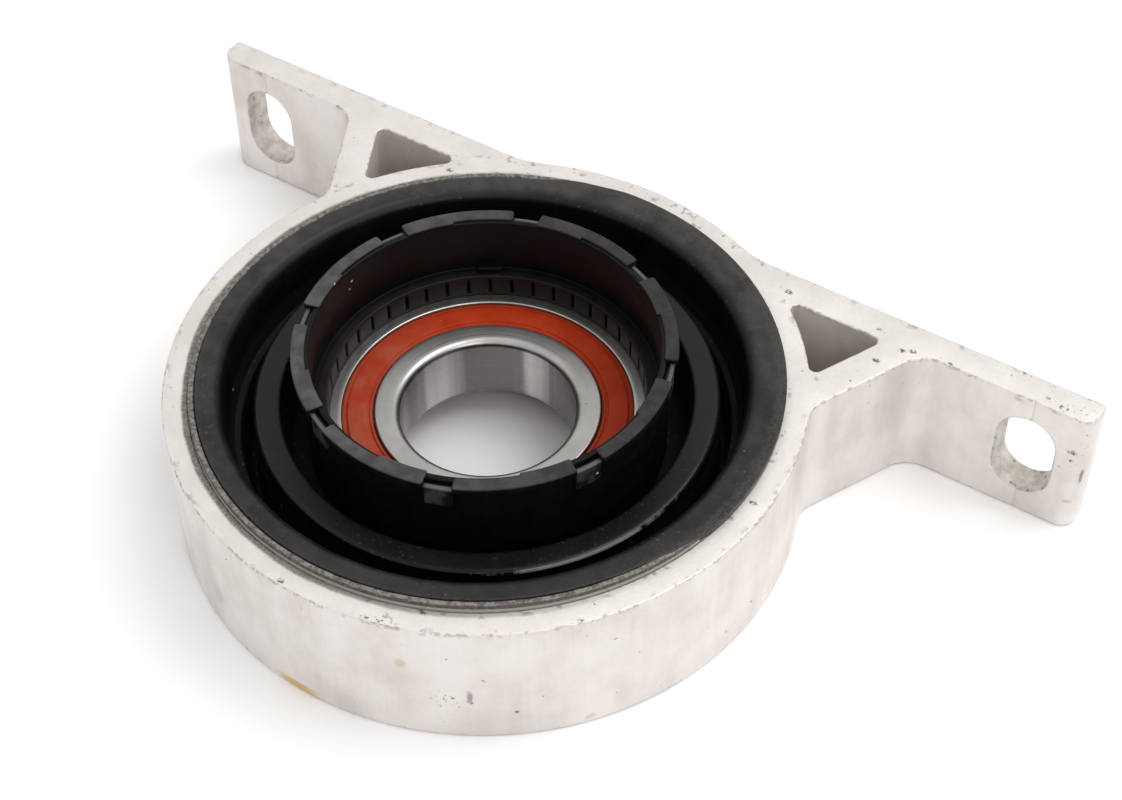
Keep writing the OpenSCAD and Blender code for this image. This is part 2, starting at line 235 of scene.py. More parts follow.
def make_mesh(name, patches, cap_heights=()):
    """Joins patches into one mesh, merges shared points, fills the flat faces at cap_heights with the
    finish CAP_FINISH, and turns all faces outwards."""
    grids, quads, finishes = zip(*patches)
    firsts = np.cumsum([0] + [grid.size // 3 for grid in grids])
    points = np.concatenate([grid.reshape(-1, 3) for grid in grids]) * MM
    faces = np.concatenate([part + first for part, first in zip(quads, firsts)])
    face_finishes = np.repeat(finishes, [len(part) for part in quads])
    mesh = bpy.data.meshes.new(name)
    mesh.from_pydata(points.tolist(), [], faces.tolist())
    mesh.polygons.foreach_set("material_index", face_finishes.astype(np.int32))
    work = bmesh.new()
    work.from_mesh(mesh)
    bmesh.ops.remove_doubles(work, verts=work.verts, dist=MERGE_M)
    bmesh.ops.dissolve_degenerate(work, edges=work.edges, dist=SLIVER_M)
    for height in cap_heights:
        rim = [e for e in work.edges if e.is_boundary
               and all(abs(v.co.z - height * MM) < SLIVER_M for v in e.verts)]
        for face in bmesh.ops.triangle_fill(work, edges=rim, use_beauty=True)["geom"]:
            if isinstance(face, bmesh.types.BMFace):
                face.material_index = CAP_FINISH
    bmesh.ops.recalc_face_normals(work, faces=work.faces)
    open_edges = sum(1 for e in work.edges if not e.is_manifold)
    work.to_mesh(mesh)
    work.free()
    mesh.polygons.foreach_set("use_smooth", np.ones(len(mesh.polygons), bool))
    mesh.set_sharp_from_angle(angle=SHARP_ANGLE)
    print(name, "faces:", len(mesh.polygons), "open edges:", open_edges)
    return mesh


def place_piece(mesh, node, body, slot, *materials):
    """Puts a finished mesh in the scene in the place of a CAD node, riding on that node's body where one is
    given.
    """
    for material in materials:
        mesh.materials.append(material)
    piece = bpy.data.objects.new(mesh.name, mesh)
    bpy.context.scene.collection.objects.link(piece)
    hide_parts(node)
    if body:
        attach(piece, body)
    return piece


print("edges sharper than", round(math.degrees(SHARP_ANGLE)), "degrees stay sharp")

# %% [markdown]
# Finishes are built from shader nodes. Placed by hand they would fill pages, so a few short helpers
# place a node, do a sum and mix colours. Each material then reads like a recipe: masks first, and then
# a base colour with tints laid over it.


# %% Place nodes and do sums
def put(tree, kind, inputs=(), **settings):
    """Adds a shader node; inputs maps socket names or numbers to a value or to another socket."""
    node = tree.nodes.new("ShaderNode" + kind)
    for key, value in settings.items():
        setattr(node, key, value)
    for key, value in dict(inputs).items():
        if isinstance(value, bpy.types.NodeSocket):
            tree.links.new(value, node.inputs[key])
        else:
            node.inputs[key].default_value = value
    return node


def tree_of(*values):
    """The node tree that the first socket among some values belongs to."""
    return next(value.id_data for value in values if isinstance(value, bpy.types.NodeSocket))


def calc(operation, a, b=0.0):
    """One sum on two values or sockets."""
    return put(tree_of(a, b), "Math", {0: a, 1: b}, operation=operation).outputs[0]


def times(*values):
    """The product of values and sockets."""
    product = values[0]
    for value in values[1:]:
        product = calc("MULTIPLY", product, value)
    return product


print("made:", [helper.__name__ for helper in (put, tree_of, calc, times)])


# %% Mix colours and bend values
def blend_in(factor, low, high):
    """The colour low where factor is 0 and high where it is 1."""
    return put(tree_of(factor), "Mix", {0: factor, 6: low, 7: high}, data_type="RGBA").outputs[2]


def layered(colour, *layers):
    """Lays tints over a colour in turn; each layer is a mask and its tint."""
    for mask, tint in layers:
        colour = blend_in(mask, colour, tint)
    return colour


def between(value, low, high, to_low=0.0, to_high=1.0):
    """value from low to high becomes to_low to to_high, smoothly and clamped."""
    numbers = {"Value": value, "From Min": low, "From Max": high, "To Min": to_low, "To Max": to_high}
    return put(tree_of(value), "MapRange", numbers, interpolation_type="SMOOTHSTEP").outputs[0]


def within(value, start, full, still_full, end):
    """1 from full to still_full, and smoothly down to 0 at start and end."""
    return times(between(value, start, full), between(value, end, still_full))


print("made:", [helper.__name__ for helper in (blend_in, layered, between, within)])


# %% Places and noise
def object_place(tree):
    """The point on the piece in metres, in the part's frame."""
    return put(tree, "TexCoord").outputs["Object"]


def noise(place, scale, detail, roughness=0.5):
    """Soft noise at a place: a larger scale makes it finer, and detail adds waves finer still."""
    inputs = {"Vector": place, "Scale": scale, "Detail": detail, "Roughness": roughness}
    return put(tree_of(place), "TexNoise", inputs).outputs["Fac"]


def vector_sum(operation, a, b=(0, 0, 0)):
    """One sum on two vectors; returns the outputs Vector and Value."""
    return put(tree_of(a, b), "VectorMath", {0: a, 1: b}, operation=operation).outputs


def axis_parts(tree):
    """Distance from the shaft's axis and height along it, in metres."""
    parts = put(tree, "SeparateXYZ", {0: object_place(tree)}).outputs
    flat = put(tree, "CombineXYZ", {"X": parts["X"], "Y": parts["Y"]}).outputs[0]
    return vector_sum("LENGTH", flat)["Value"], parts["Z"]


print("made:", [helper.__name__ for helper in (object_place, noise, vector_sum, axis_parts)])


# %% Groups and finishes
def make_group(name, build, **inputs):
    """A node group with inputs {name: default}; build(tree, given) returns its outputs as {name: socket}."""
    tree = bpy.data.node_groups.new(name, "ShaderNodeTree")
    for key, value in inputs.items():
        kind = "NodeSocketVector" if isinstance(value, tuple) else "NodeSocketFloat"
        tree.interface.new_socket(key, in_out="INPUT", socket_type=kind).default_value = value
    made = build(tree, tree.nodes.new("NodeGroupInput").outputs)
    for key in made:
        tree.interface.new_socket(key, in_out="OUTPUT", socket_type="NodeSocketFloat")
    wanted = tree.nodes.new("NodeGroupOutput").inputs
    for key, socket in made.items():
        tree.links.new(socket, wanted[key])
    return tree


def use_group(tree, group, output="Mask", **inputs):
    """Places a group in a material with its own values and returns one of its outputs."""
    return put(tree, "Group", inputs, node_tree=group).outputs[output]


def new_finish(name, metallic, specular=0.5):
    """A material with a Principled shader; returns the material and its node tree."""
    material = bpy.data.materials.new(name)
    material.use_nodes = True
    shader = material.node_tree.nodes["Principled BSDF"]
    shader.inputs["Metallic"].default_value = metallic
    shader.inputs["Specular IOR Level"].default_value = specular
    return material, material.node_tree


def finish_surface(material, colour, roughness, height, depth):
    """Joins colour, roughness and a bump of the given depth in metres to the shader."""
    tree = material.node_tree
    shader = tree.nodes["Principled BSDF"]
    bump = put(tree, "Bump", {"Height": height, "Distance": depth, "Strength": 1.0})
    tree.links.new(colour, shader.inputs["Base Color"])
    tree.links.new(roughness, shader.inputs["Roughness"])
    tree.links.new(bump.outputs[0], shader.inputs["Normal"])
    return material


print("made:", [helper.__name__ for helper in (make_group, use_group, new_finish, finish_surface)])

# %% [markdown]
# Dirt, dust and tool lines turn up on several pieces. Each could be built anew in every material, but
# one node group per effect keeps them alike: small specks, single grains, lines drawn along the
# extrusion, turning lines, one side of the part, a stain at a place, and dust that lies on what faces up.


# %% Specks and grains
def build_specks(tree, given):
    """Small blots: noise above a threshold that leaves the given share covered."""
    spots = noise(object_place(tree), given["Scale"], 2.0, 0.6)
    low = calc("SUBTRACT", 0.78, times(given["Share"], 0.5))
    return {"Mask": between(spots, low, calc("ADD", low, given["Soft"]))}


def build_flecks(tree, given):
    """Single pale dust grains: small dots in a few cells of a Voronoi pattern, on any side."""
    cells = put(tree, "TexVoronoi", {"Vector": object_place(tree), "Scale": given["Scale"]}).outputs
    lot = put(tree, "SeparateColor", {0: cells["Color"]}).outputs[0]
    dot = between(cells["Distance"], given["Size"], times(given["Size"], 0.6))
    return {"Mask": times(calc("LESS_THAN", lot, given["Share"]), dot)}


SPECKS = make_group("specks", build_specks, Scale=900.0, Share=0.3, Soft=0.06)
FLECKS = make_group("flecks", build_flecks, Scale=400.0, Share=0.05, Size=0.12)
print("groups:", SPECKS.name, FLECKS.name)


# %% Lines and sides
def build_drawn_lines(tree, given):
    """Streaks along Z: noise whose Z is squeezed, as an extrusion die leaves them."""
    parts = put(tree, "SeparateXYZ", {0: object_place(tree)}).outputs
    squeezed = times(parts["Z"], given["Squeeze"])
    place = put(tree, "CombineXYZ", {"X": parts["X"], "Y": parts["Y"], "Z": squeezed}).outputs[0]
    return {"Value": noise(place, given["Scale"], 4.0)}


def build_turning_lines(tree, given):
    """Fine lines round the shaft's axis: noise of the radius and the height only."""
    radius, height = axis_parts(tree)
    place = put(tree, "CombineXYZ", {"X": radius, "Y": height}).outputs[0]
    return {"Value": noise(place, given["Scale"], 3.0)}


def build_side(tree, given):
    """How far a point lies towards a ray from the axis, from 1 on that side to -1 on the far side: its
    length along the ray divided by its radius."""
    along = vector_sum("DOT_PRODUCT", object_place(tree), given["Ray"])["Value"]
    return {"Value": calc("DIVIDE", along, axis_parts(tree)[0])}


DRAWN_LINES = make_group("drawn_lines", build_drawn_lines, Scale=700.0, Squeeze=0.03)
TURNING_LINES = make_group("turning_lines", build_turning_lines, Scale=4000.0)
SIDE = make_group("side", build_side, Ray=(1.0, 0.0, 0.0))
print("groups:", DRAWN_LINES.name, TURNING_LINES.name, SIDE.name)


# %% Stains and dust
def build_stain(tree, given):
    """A blot at a place: distance to it, shaken by noise, under the given size."""
    place = object_place(tree)
    away = vector_sum("SUBTRACT", place, given["Place"])["Vector"]
    away = vector_sum("DIVIDE", away, given["Stretch"])["Vector"]
    distance = vector_sum("LENGTH", away)["Value"]
    shaken = calc("ADD", 0.1, times(noise(place, 500.0, 4.0), 1.8))
    reach = times(given["Size"], shaken)
    return {"Mask": between(distance, times(reach, 0.35), reach, 1.0, 0.0)}


def build_dust(tree, given):
    """Pale specks and haze on what faces up: fine noise times the upward part of the normal."""
    normal = put(tree, "TexCoord").outputs["Normal"]
    facing = between(put(tree, "SeparateXYZ", {0: normal}).outputs["Z"], -0.2, 0.9)
    place = object_place(tree)
    fine = noise(place, given["Scale"], 3.0)
    broad = noise(place, 90.0, 3.0)
    low = calc("SUBTRACT", 0.8, times(given["Share"], 0.6))
    specks = between(fine, low, calc("ADD", low, 0.1))
    return {"Mask": times(specks, between(broad, 0.35, 0.75), facing)}


STAIN = make_group("stain", build_stain, Place=(0.0, 0.0, 0.0), Size=0.003, Stretch=(1.0, 1.0, 1.0))
DUST = make_group("dust", build_dust, Scale=1500.0, Share=0.2)
print("groups:", STAIN.name, DUST.name)

# %% [markdown]
# The bracket is a length of aluminium extrusion. Its plan is drawn as one closed line of arcs and
# straight runs, each point with the direction out of the metal, so that the sawn edges can be rounded
# by stepping inwards. The two bolt slots run through the ears, so a panel of each ear is a ring of
# points between the slot and a rectangle.

# %% Arcs and straight runs
ARC_STEP = 60
SAME_POINT = 1e-4


def along_to_circle(point, direction, radius):
    """The point where the line from point along direction first meets the circle about the axis."""
    middle = -point @ direction
    return point + direction * (middle - math.sqrt(middle ** 2 - point @ point + radius ** 2))


def arc(centre, radius, start, end, side):
    """Points on an arc and the directions out of the metal there; side is 1 where the metal is inside
    the circle and -1 where it is outside. Angles are in degrees."""
    count = max(int(abs(end - start) * max(radius, 4) / ARC_STEP) + 2, 5)
    t = np.radians(np.linspace(start, end, count))
    ray = pairs(np.cos(t), np.sin(t))
    return np.array(centre) + radius * ray, side * ray


def straight(start, end, count, out):
    """Points on a straight run and the direction out of the metal."""
    share = np.linspace(0, 1, count)[:, None]
    return np.array(start) * (1 - share) + np.array(end) * share, np.tile(out, (count, 1))


def heading(vector):
    """Angle of a vector in degrees."""
    return math.degrees(math.atan2(vector[1], vector[0]))


def joined(runs):
    """The points of several runs in one line, and their directions in another."""
    return [np.concatenate(lines) for lines in zip(*runs)]


def without_repeats(points, out):
    """Drops each point that lies on the one before it."""
    kept = np.linalg.norm(points - np.roll(points, 1, 0), axis=1) > SAME_POINT
    return points[kept], out[kept]


print("points on a quarter turn of 10 mm:", len(arc((0, 0), 10, 0, 90, 1)[0]))

# %% Plan of the bracket
RING_R = 54.0
BAR_BACK_Y = 48.5
EAR_FRONT_Y = 42.9
HALF_LENGTH = 90.6
EAR_CORNER_R = 3.0
BACK_CORNER_R = 0.7
GUSSET_X = 59.5
GUSSET_LEAN = math.radians(25.8)
RING_FILLET_R = 5.0
EAR_FILLET_R = 6.0
BACK_FILLET_R = 18.0
SLOT_X = 80.0
MARK_HALF_W = 0.35
MARK_DEPTH = 0.22
MARK_ROOM = 0.9
PANEL_LOW_X = 72.4
PANEL_EASE = 0.9
CLOSE = 1e-6

GUSSET_DOWN = np.array([-math.sin(GUSSET_LEAN), -math.cos(GUSSET_LEAN)])
GUSSET_OUT = np.array([math.cos(GUSSET_LEAN), -math.sin(GUSSET_LEAN)])
GUSSET_TOP = np.array([GUSSET_X, EAR_FRONT_Y])

panel_end_x = HALF_LENGTH - EAR_CORNER_R
panel_side = np.linspace(0, 1, 10)[1:] ** PANEL_EASE
panel_x = np.concatenate((
    (SLOT_X - MARK_ROOM - panel_side * (SLOT_X - MARK_ROOM - PANEL_LOW_X))[::-1],
    SLOT_X + np.array([-MARK_ROOM, -MARK_HALF_W, 0, MARK_HALF_W, MARK_ROOM]),
    SLOT_X + MARK_ROOM + panel_side * (panel_end_x - SLOT_X - MARK_ROOM)))

ring_corner = along_to_circle(GUSSET_TOP + GUSSET_OUT * RING_FILLET_R, GUSSET_DOWN, RING_R + RING_FILLET_R)
ear_corner = GUSSET_TOP + np.array([(1 - math.sin(GUSSET_LEAN)) / math.cos(GUSSET_LEAN), -1]) * EAR_FILLET_R
back_centre_y = BAR_BACK_Y + BACK_FILLET_R
back_corner = np.array([math.sqrt((RING_R + BACK_FILLET_R) ** 2 - back_centre_y ** 2), back_centre_y])
gusset_start = ring_corner - GUSSET_OUT * RING_FILLET_R
gusset_end = ear_corner - GUSSET_OUT * EAR_FILLET_R
half_runs = [
    arc((0, 0), RING_R, -90, heading(ring_corner), 1),
    arc(ring_corner, RING_FILLET_R, heading(ring_corner) + 180, heading(-GUSSET_OUT), -1),
    straight(gusset_start, gusset_end, 14, GUSSET_OUT),
    arc(ear_corner, EAR_FILLET_R, heading(-GUSSET_OUT), 90, -1),
    straight((ear_corner[0], EAR_FRONT_Y), (PANEL_LOW_X, EAR_FRONT_Y), 8, (0, -1)),
    (pairs(panel_x, EAR_FRONT_Y), np.tile((0, -1), (len(panel_x), 1))),
    arc((panel_end_x, EAR_FRONT_Y + EAR_CORNER_R), EAR_CORNER_R, -90, 0, 1),
    arc((HALF_LENGTH - BACK_CORNER_R, BAR_BACK_Y - BACK_CORNER_R), BACK_CORNER_R, 0, 90, 1),
    (pairs(panel_x[::-1], BAR_BACK_Y), np.tile((0, 1), (len(panel_x), 1))),
    straight((PANEL_LOW_X, BAR_BACK_Y), (back_corner[0], BAR_BACK_Y), 24, (0, 1)),
    arc(back_corner, BACK_FILLET_R, -90, heading(back_corner) - 180, -1),
    arc((0, 0), RING_R, heading(back_corner), 90, 1)]
half_points, half_out = joined(half_runs)
MIRROR = np.array([-1, 1])
plan, plan_out = without_repeats(np.concatenate((half_points, (half_points * MIRROR)[::-1])),
                                 np.concatenate((half_out, (half_out * MIRROR)[::-1])))
on_mark = (np.abs(np.abs(plan[:, 0]) - SLOT_X) < CLOSE) & (np.abs(plan[:, 1] - EAR_FRONT_Y) < CLOSE)
plan = plan + on_mark[:, None] * np.array([0, MARK_DEPTH])
print("plan points:", len(plan))

# %% [markdown]
# A window with three sides lightens the bracket between each gusset, the bar and the ring. A boolean
# cut would leave rough edges, so its outline is drawn in the same way as the plan, from arcs, and
# mirrored for the other side.

# %% Windows beside the gussets
WINDOW_Y = 42.3
WINDOW_R = 1.2
GUSSET_T = 6.0
window_top = GUSSET_TOP + GUSSET_DOWN * (EAR_FRONT_Y - WINDOW_Y) / math.cos(GUSSET_LEAN)
window_top = window_top - np.array([GUSSET_T / math.cos(GUSSET_LEAN), 0])
window_low = along_to_circle(window_top - GUSSET_OUT * WINDOW_R, GUSSET_DOWN, RING_R + WINDOW_R)
window_in = along_to_circle(window_top - np.array([0, WINDOW_R]), np.array([-1.0, 0]), RING_R + WINDOW_R)
window_out = window_top + WINDOW_R * np.array([-(1 + math.sin(GUSSET_LEAN)) / math.cos(GUSSET_LEAN), -1])
window_runs = [
    arc(window_low, WINDOW_R, heading(window_low) - 180, heading(GUSSET_OUT), -1),
    arc(window_out, WINDOW_R, heading(GUSSET_OUT), 90, -1),
    arc(window_in, WINDOW_R, 90, heading(window_in) + 180, -1),
    arc((0, 0), RING_R, heading(window_in), heading(window_low), 1)]
window_points, window_normals = without_repeats(*joined(window_runs))
print("window corners:", window_low.round(2), window_out.round(2), window_in.round(2))

# %% [markdown]
# The plan now becomes walls. Each wall is the plan repeated at several heights, and near the sawn faces
# it steps inwards along a quarter circle, which rounds the edge. The ears' panels run from the slot's
# mouth to the wall, and the slots' walls and the bore get a finish of their own, since grime sits there.

# %% Walls with rounded edges
TOP_Z = 14.2
BOTTOM_Z = -12.5
EDGE_R = 0.3
WALL_Z = np.concatenate(([BOTTOM_Z + EDGE_R], np.linspace(BOTTOM_Z + 1, TOP_Z - 1, 13), [TOP_Z - EDGE_R]))


def edge_rows(steps=4):
    """Steps of a quarter round: how far in from the wall, and how far from the flat face."""
    t = np.linspace(0, np.pi / 2, steps + 1)
    return EDGE_R * (1 - np.cos(t)), EDGE_R * (1 - np.sin(t))


def wall_grid(points, out, heights, inward):
    """A wall: every plan point repeated at each height, moved inwards where the edge is rounded."""
    moved = points[:, None, :] - out[:, None, :] * np.broadcast_to(inward, heights.shape)[None, :, None]
    z = np.broadcast_to(heights, moved.shape[:2])[..., None]
    return np.concatenate((moved, z), -1)


EDGE_IN, EDGE_DROP = edge_rows()


def rounded_wall(points, out, skip=None):
    """A closed wall with both sawn edges rounded; quads between two skipped points are left out."""
    patches = []
    for heights, inward in ((WALL_Z, 0.0), (TOP_Z - EDGE_DROP, EDGE_IN), (BOTTOM_Z + EDGE_DROP, EDGE_IN)):
        grid, quads, finish = patch(wall_grid(points, out, heights, inward), True, False)
        if skip is not None and heights is WALL_Z:
            column = quads[:, :2] // grid.shape[1]
            quads = quads[~(skip[column[:, 0]] & skip[column[:, 1]])]
        patches.append((grid, quads, finish))
    return patches


print("rows of a wall:", len(WALL_Z), "and of a rounded edge:", len(EDGE_IN))

# %% Slots in the ears
SLOT_Z = 0.85
SLOT_HALF_W = 5.2
SLOT_STRAIGHT = 3.3
GRIMED = 2
PANEL_SHARES = np.array([0, 0.06, 0.3, 0.6, 0.94, 1.0])[:, None]


def slot_reach(direction, half_w):
    """Distance from the slot's middle to its outline along unit directions (x, z): the straight sides
    lie at half_w, and beyond them the ends are half circles about +-SLOT_STRAIGHT."""
    x, z = np.abs(direction).T
    side = half_w / np.maximum(x, 1e-9)
    end = SLOT_STRAIGHT * z + np.sqrt(np.maximum(half_w ** 2 - (SLOT_STRAIGHT * x) ** 2, 0))
    return np.where(side * z <= SLOT_STRAIGHT, side, end)


def slot_loop(rim, half_w):
    """The slot's outline, one point for each point of the rectangular rim; points near the middle
    mark keep their x, so that the mark stays straight."""
    away = rim - np.array([SLOT_X, SLOT_Z])
    direction = away / np.linalg.norm(away, axis=1)[:, None]
    loop = direction * slot_reach(direction, half_w)[:, None]
    straight_up = np.abs(away[:, 0]) < MARK_HALF_W + SAME_POINT
    end = SLOT_STRAIGHT + np.sqrt(half_w ** 2 - np.minimum(np.abs(away[:, 0]), half_w) ** 2)
    kept_x = pairs(away[:, 0], np.sign(away[:, 1]) * end)
    return np.where(straight_up[:, None], kept_x, loop) + np.array([SLOT_X, SLOT_Z])


def slot_patches(side):
    """Front panel, slot wall and back panel of one ear; side is 1 on the right and -1 on the left."""
    rim = np.concatenate((pairs(panel_x, WALL_Z[0]), pairs(panel_end_x, WALL_Z[1:-1]),
                          pairs(panel_x[::-1], WALL_Z[-1]), pairs(PANEL_LOW_X, WALL_Z[-2:0:-1])))
    mark = np.where(np.abs(rim[:, 0] - SLOT_X) < CLOSE, MARK_DEPTH, 0.0)
    mouth = slot_loop(rim, SLOT_HALF_W + EDGE_R)
    flat = mouth[:, None] * (1 - PANEL_SHARES) + rim[:, None] * PANEL_SHARES
    widths = SLOT_HALF_W + np.concatenate((EDGE_DROP, EDGE_DROP[::-1]))
    loops = np.stack([slot_loop(rim, width) for width in widths], 1)
    loop_y = np.concatenate((EAR_FRONT_Y + EDGE_IN, BAR_BACK_Y - EDGE_IN[::-1]))
    loop_y = np.broadcast_to(loop_y, loops.shape[:2]).copy()
    loop_y[:, 0] += mark
    patches = []
    front_y = EAR_FRONT_Y + mark[:, None]
    for xz, y, finish in ((flat, front_y, 0), (loops, loop_y, GRIMED), (flat, BAR_BACK_Y, 0)):
        grid = np.stack(np.broadcast_arrays(side * xz[..., 0], y, xz[..., 1]), -1)
        patches.append(patch(grid, True, False, finish))
    return patches


print("slot:", 2 * SLOT_HALF_W, "by", 2 * (SLOT_HALF_W + SLOT_STRAIGHT), "mm")

# %% The bracket in one mesh
BORE_R = 49.6
BORE_CHAMFER = 0.25
BORE_ROW = 2
in_panel = (np.abs(plan[:, 0]) > PANEL_LOW_X - CLOSE) & (np.abs(plan[:, 0]) < panel_end_x + CLOSE)
on_front = np.abs(plan[:, 1] - EAR_FRONT_Y) < MARK_DEPTH + CLOSE
on_back = np.abs(plan[:, 1] - BAR_BACK_Y) < CLOSE
patches = rounded_wall(plan, plan_out, in_panel & (on_front | on_back))
for side in (1, -1):
    flip = np.array([side, 1])
    patches += rounded_wall(window_points * flip, window_normals * flip)
    patches += slot_patches(side)
bore_section = np.array([
    (BORE_R + BORE_CHAMFER, TOP_Z), (BORE_R, TOP_Z - BORE_CHAMFER), (BORE_R, TOP_Z - BORE_ROW),
    (BORE_R, BOTTOM_Z + BORE_ROW), (BORE_R, BOTTOM_Z + BORE_CHAMFER), (BORE_R + BORE_CHAMFER, BOTTOM_Z)])
patches.append(patch(spun(bore_section, around(FINE_TURN_STEPS)), True, False, GRIMED))
bracket_mesh = make_mesh("bracket_extrusion", patches, (TOP_Z, BOTTOM_Z))

# %% [markdown]
# The steel sleeves, the seals and the bearing's rings are turned parts, so each is a half section
# spun about the shaft. A Screw modifier could do that too, but with arrays a section may also change on
# the way round. Their corners are rounded by a few tenths of a millimetre, because a real edge always
# catches a line of light.


# %% Turned parts
def turned_mesh(name, corners, radii, count=TURN_STEPS, steps=4):
    """Spins a closed half section with rounded corners about the shaft's axis."""
    section = rounded(np.array(corners, float), np.array(radii, float), steps)
    return make_mesh(name, [patch(spun(section, around(count)))])


HALF_W = 6.5
INNER_R, INNER_LAND_R, OUTER_LAND_R, SEAT_R, OUTER_R = 15.0, 19.3, 23.65, 24.8, 27.5
SEAT_Z = 4.9
PITCH_R, RACE_R = 21.25, 3.622
RACE_POINTS = 14


def race(side):
    """The raceway's arc in a ring's section, cut at the ring's own land: from top to bottom in the
    outer ring, where side is 1, and from bottom to top in the inner ring, where side is -1."""
    land = OUTER_LAND_R if side > 0 else INNER_LAND_R
    reach = math.asin(math.sqrt(RACE_R ** 2 - (land - PITCH_R) ** 2) / RACE_R)
    t = np.linspace(reach, -reach, RACE_POINTS)
    return [(PITCH_R + side * RACE_R * math.cos(a), side * RACE_R * math.sin(a)) for a in t]


outer_ring_corners = [
    (OUTER_LAND_R, -SEAT_Z), (SEAT_R, -SEAT_Z), (SEAT_R, -HALF_W), (OUTER_R, -HALF_W),
    (OUTER_R, HALF_W), (SEAT_R, HALF_W), (SEAT_R, SEAT_Z), (OUTER_LAND_R, SEAT_Z)] + race(1)
inner_ring_corners = [(INNER_R, -HALF_W), (INNER_LAND_R, -HALF_W)] + race(-1)
inner_ring_corners += [(INNER_LAND_R, HALF_W), (INNER_R, HALF_W)]
sharp_race = [0] * RACE_POINTS
outer_ring_mesh = turned_mesh("bearing_outer_ring", outer_ring_corners,
                              [0, 0, 0.15, 0.5, 0.5, 0.25, 0, 0] + sharp_race)
inner_ring_mesh = turned_mesh("bearing_inner_ring", inner_ring_corners,
                              [1.3, 0.3] + sharp_race + [0.3, 1.3], steps=8)
print("bearing:", INNER_R * 2, OUTER_R * 2, HALF_W * 2)

# %% [markdown]
# The seals are thin orange rubber discs with a raised rim near each edge and a groove beside it. The
# groove's dark line is what the eye reads as a seal, so it is modelled and not painted. The outer sleeve
# could be one plain ring, but on the real part it sits a little askew, higher at the front, and its edge
# is uneven, so its top changes on the way round.

# %% Seals
SEAL_FACE, SEAL_T, SEAL_INNER_R = 6.2, 1.2, 19.4
SEAL_LINE = [(SEAL_INNER_R, SEAL_T), (SEAT_R, SEAL_T), (SEAT_R, 0.25), (24.45, 0.2), (24.3, 0.55),
             (23.95, 0.55), (23.8, 0.05), (20.55, 0), (20.4, 0.35), (20.15, 0.35), (20.0, 0.05),
             (SEAL_INNER_R, 0.15)]
SEAL_RADII = [0, 0, 0.1, 0.08, 0.08, 0.08, 0.12, 0.12, 0.05, 0.05, 0.1, 0.15]


def seal_corners(side):
    """Half section of a seal from its radii and depths under the face, upper for side 1, lower for -1."""
    return [(r, side * (SEAL_FACE - depth)) for r, depth in SEAL_LINE[::side]]


seal_top_mesh = turned_mesh("seal_upper", seal_corners(1), SEAL_RADII)
seal_bottom_mesh = turned_mesh("seal_lower", seal_corners(-1), SEAL_RADII[::-1])

# %% Sleeves
CUP_R, CUP_OPENING_R, CUP_FOOT_Z = 29.0, 25.6, -8.0
SLEEVE_BORE_R, SLEEVE_FOOT_Z, SLEEVE_TOP_Z = 48.6, -11.8, 15.4
SLEEVE_RADII = np.array([0.2, 0.2, 0.3, 0.35])
SLEEVE_TILT = 0.3
SLEEVE_SEED, SLEEVE_WAVES, SLEEVE_UNEVEN = 4, [3, 7, 19, 41, 67, 101], 0.05
FRONT_TURN = math.radians(-57)
LEFT_TURN = math.radians(-147)
FRONT_RAY = (math.cos(FRONT_TURN), math.sin(FRONT_TURN), 0.0)
LEFT_RAY = (math.cos(LEFT_TURN), math.sin(LEFT_TURN), 0.0)


def wobble(angles, seed, counts, size):
    """A smooth irregular value round the turn: a sum of sines with fixed phases."""
    phases = np.random.default_rng(seed).uniform(0, 2 * np.pi, len(counts))
    waves = np.sin(np.outer(angles, counts) + phases)
    return size * waves.sum(1) / math.sqrt(len(counts))


inner_sleeve_corners = [(OUTER_R, -HALF_W), (OUTER_R, HALF_W), (CUP_R, HALF_W), (CUP_R, CUP_FOOT_Z),
                        (CUP_OPENING_R, CUP_FOOT_Z), (CUP_OPENING_R, -HALF_W)]
inner_sleeve_mesh = turned_mesh("inner_sleeve_cup", inner_sleeve_corners, [0, 0.1, 0.3, 0.8, 0.3, 0.3])
sleeve_turn = around(FINEST_TURN_STEPS)
sleeve_top = SLEEVE_TOP_Z + SLEEVE_TILT * np.cos(sleeve_turn - FRONT_TURN)
sleeve_top = sleeve_top + wobble(sleeve_turn, SLEEVE_SEED, SLEEVE_WAVES, SLEEVE_UNEVEN)
sleeve_section = np.zeros((len(sleeve_turn), 4, 2))
sleeve_section[:, :, 0] = (SLEEVE_BORE_R, BORE_R, BORE_R, SLEEVE_BORE_R)
sleeve_section[:, :2, 1] = SLEEVE_FOOT_Z
sleeve_section[:, 2:, 1] = sleeve_top[:, None]
sleeve_section = rounded(sleeve_section, SLEEVE_RADII)
outer_sleeve_mesh = make_mesh("outer_sleeve_ring", [patch(spun(sleeve_section, sleeve_turn))])

# %% [markdown]
# The rubber ring is one moulding: a flange against the outer sleeve, a deep groove with a small step,
# a raised crest and a web that grips the inner sleeve. Where the mould closed, its thin rim creeps
# over the sleeve's edge, more on the right than on the left, the flange tilts with the sleeve, and its
# lip lies a little to the left. So the section changes on the way round.

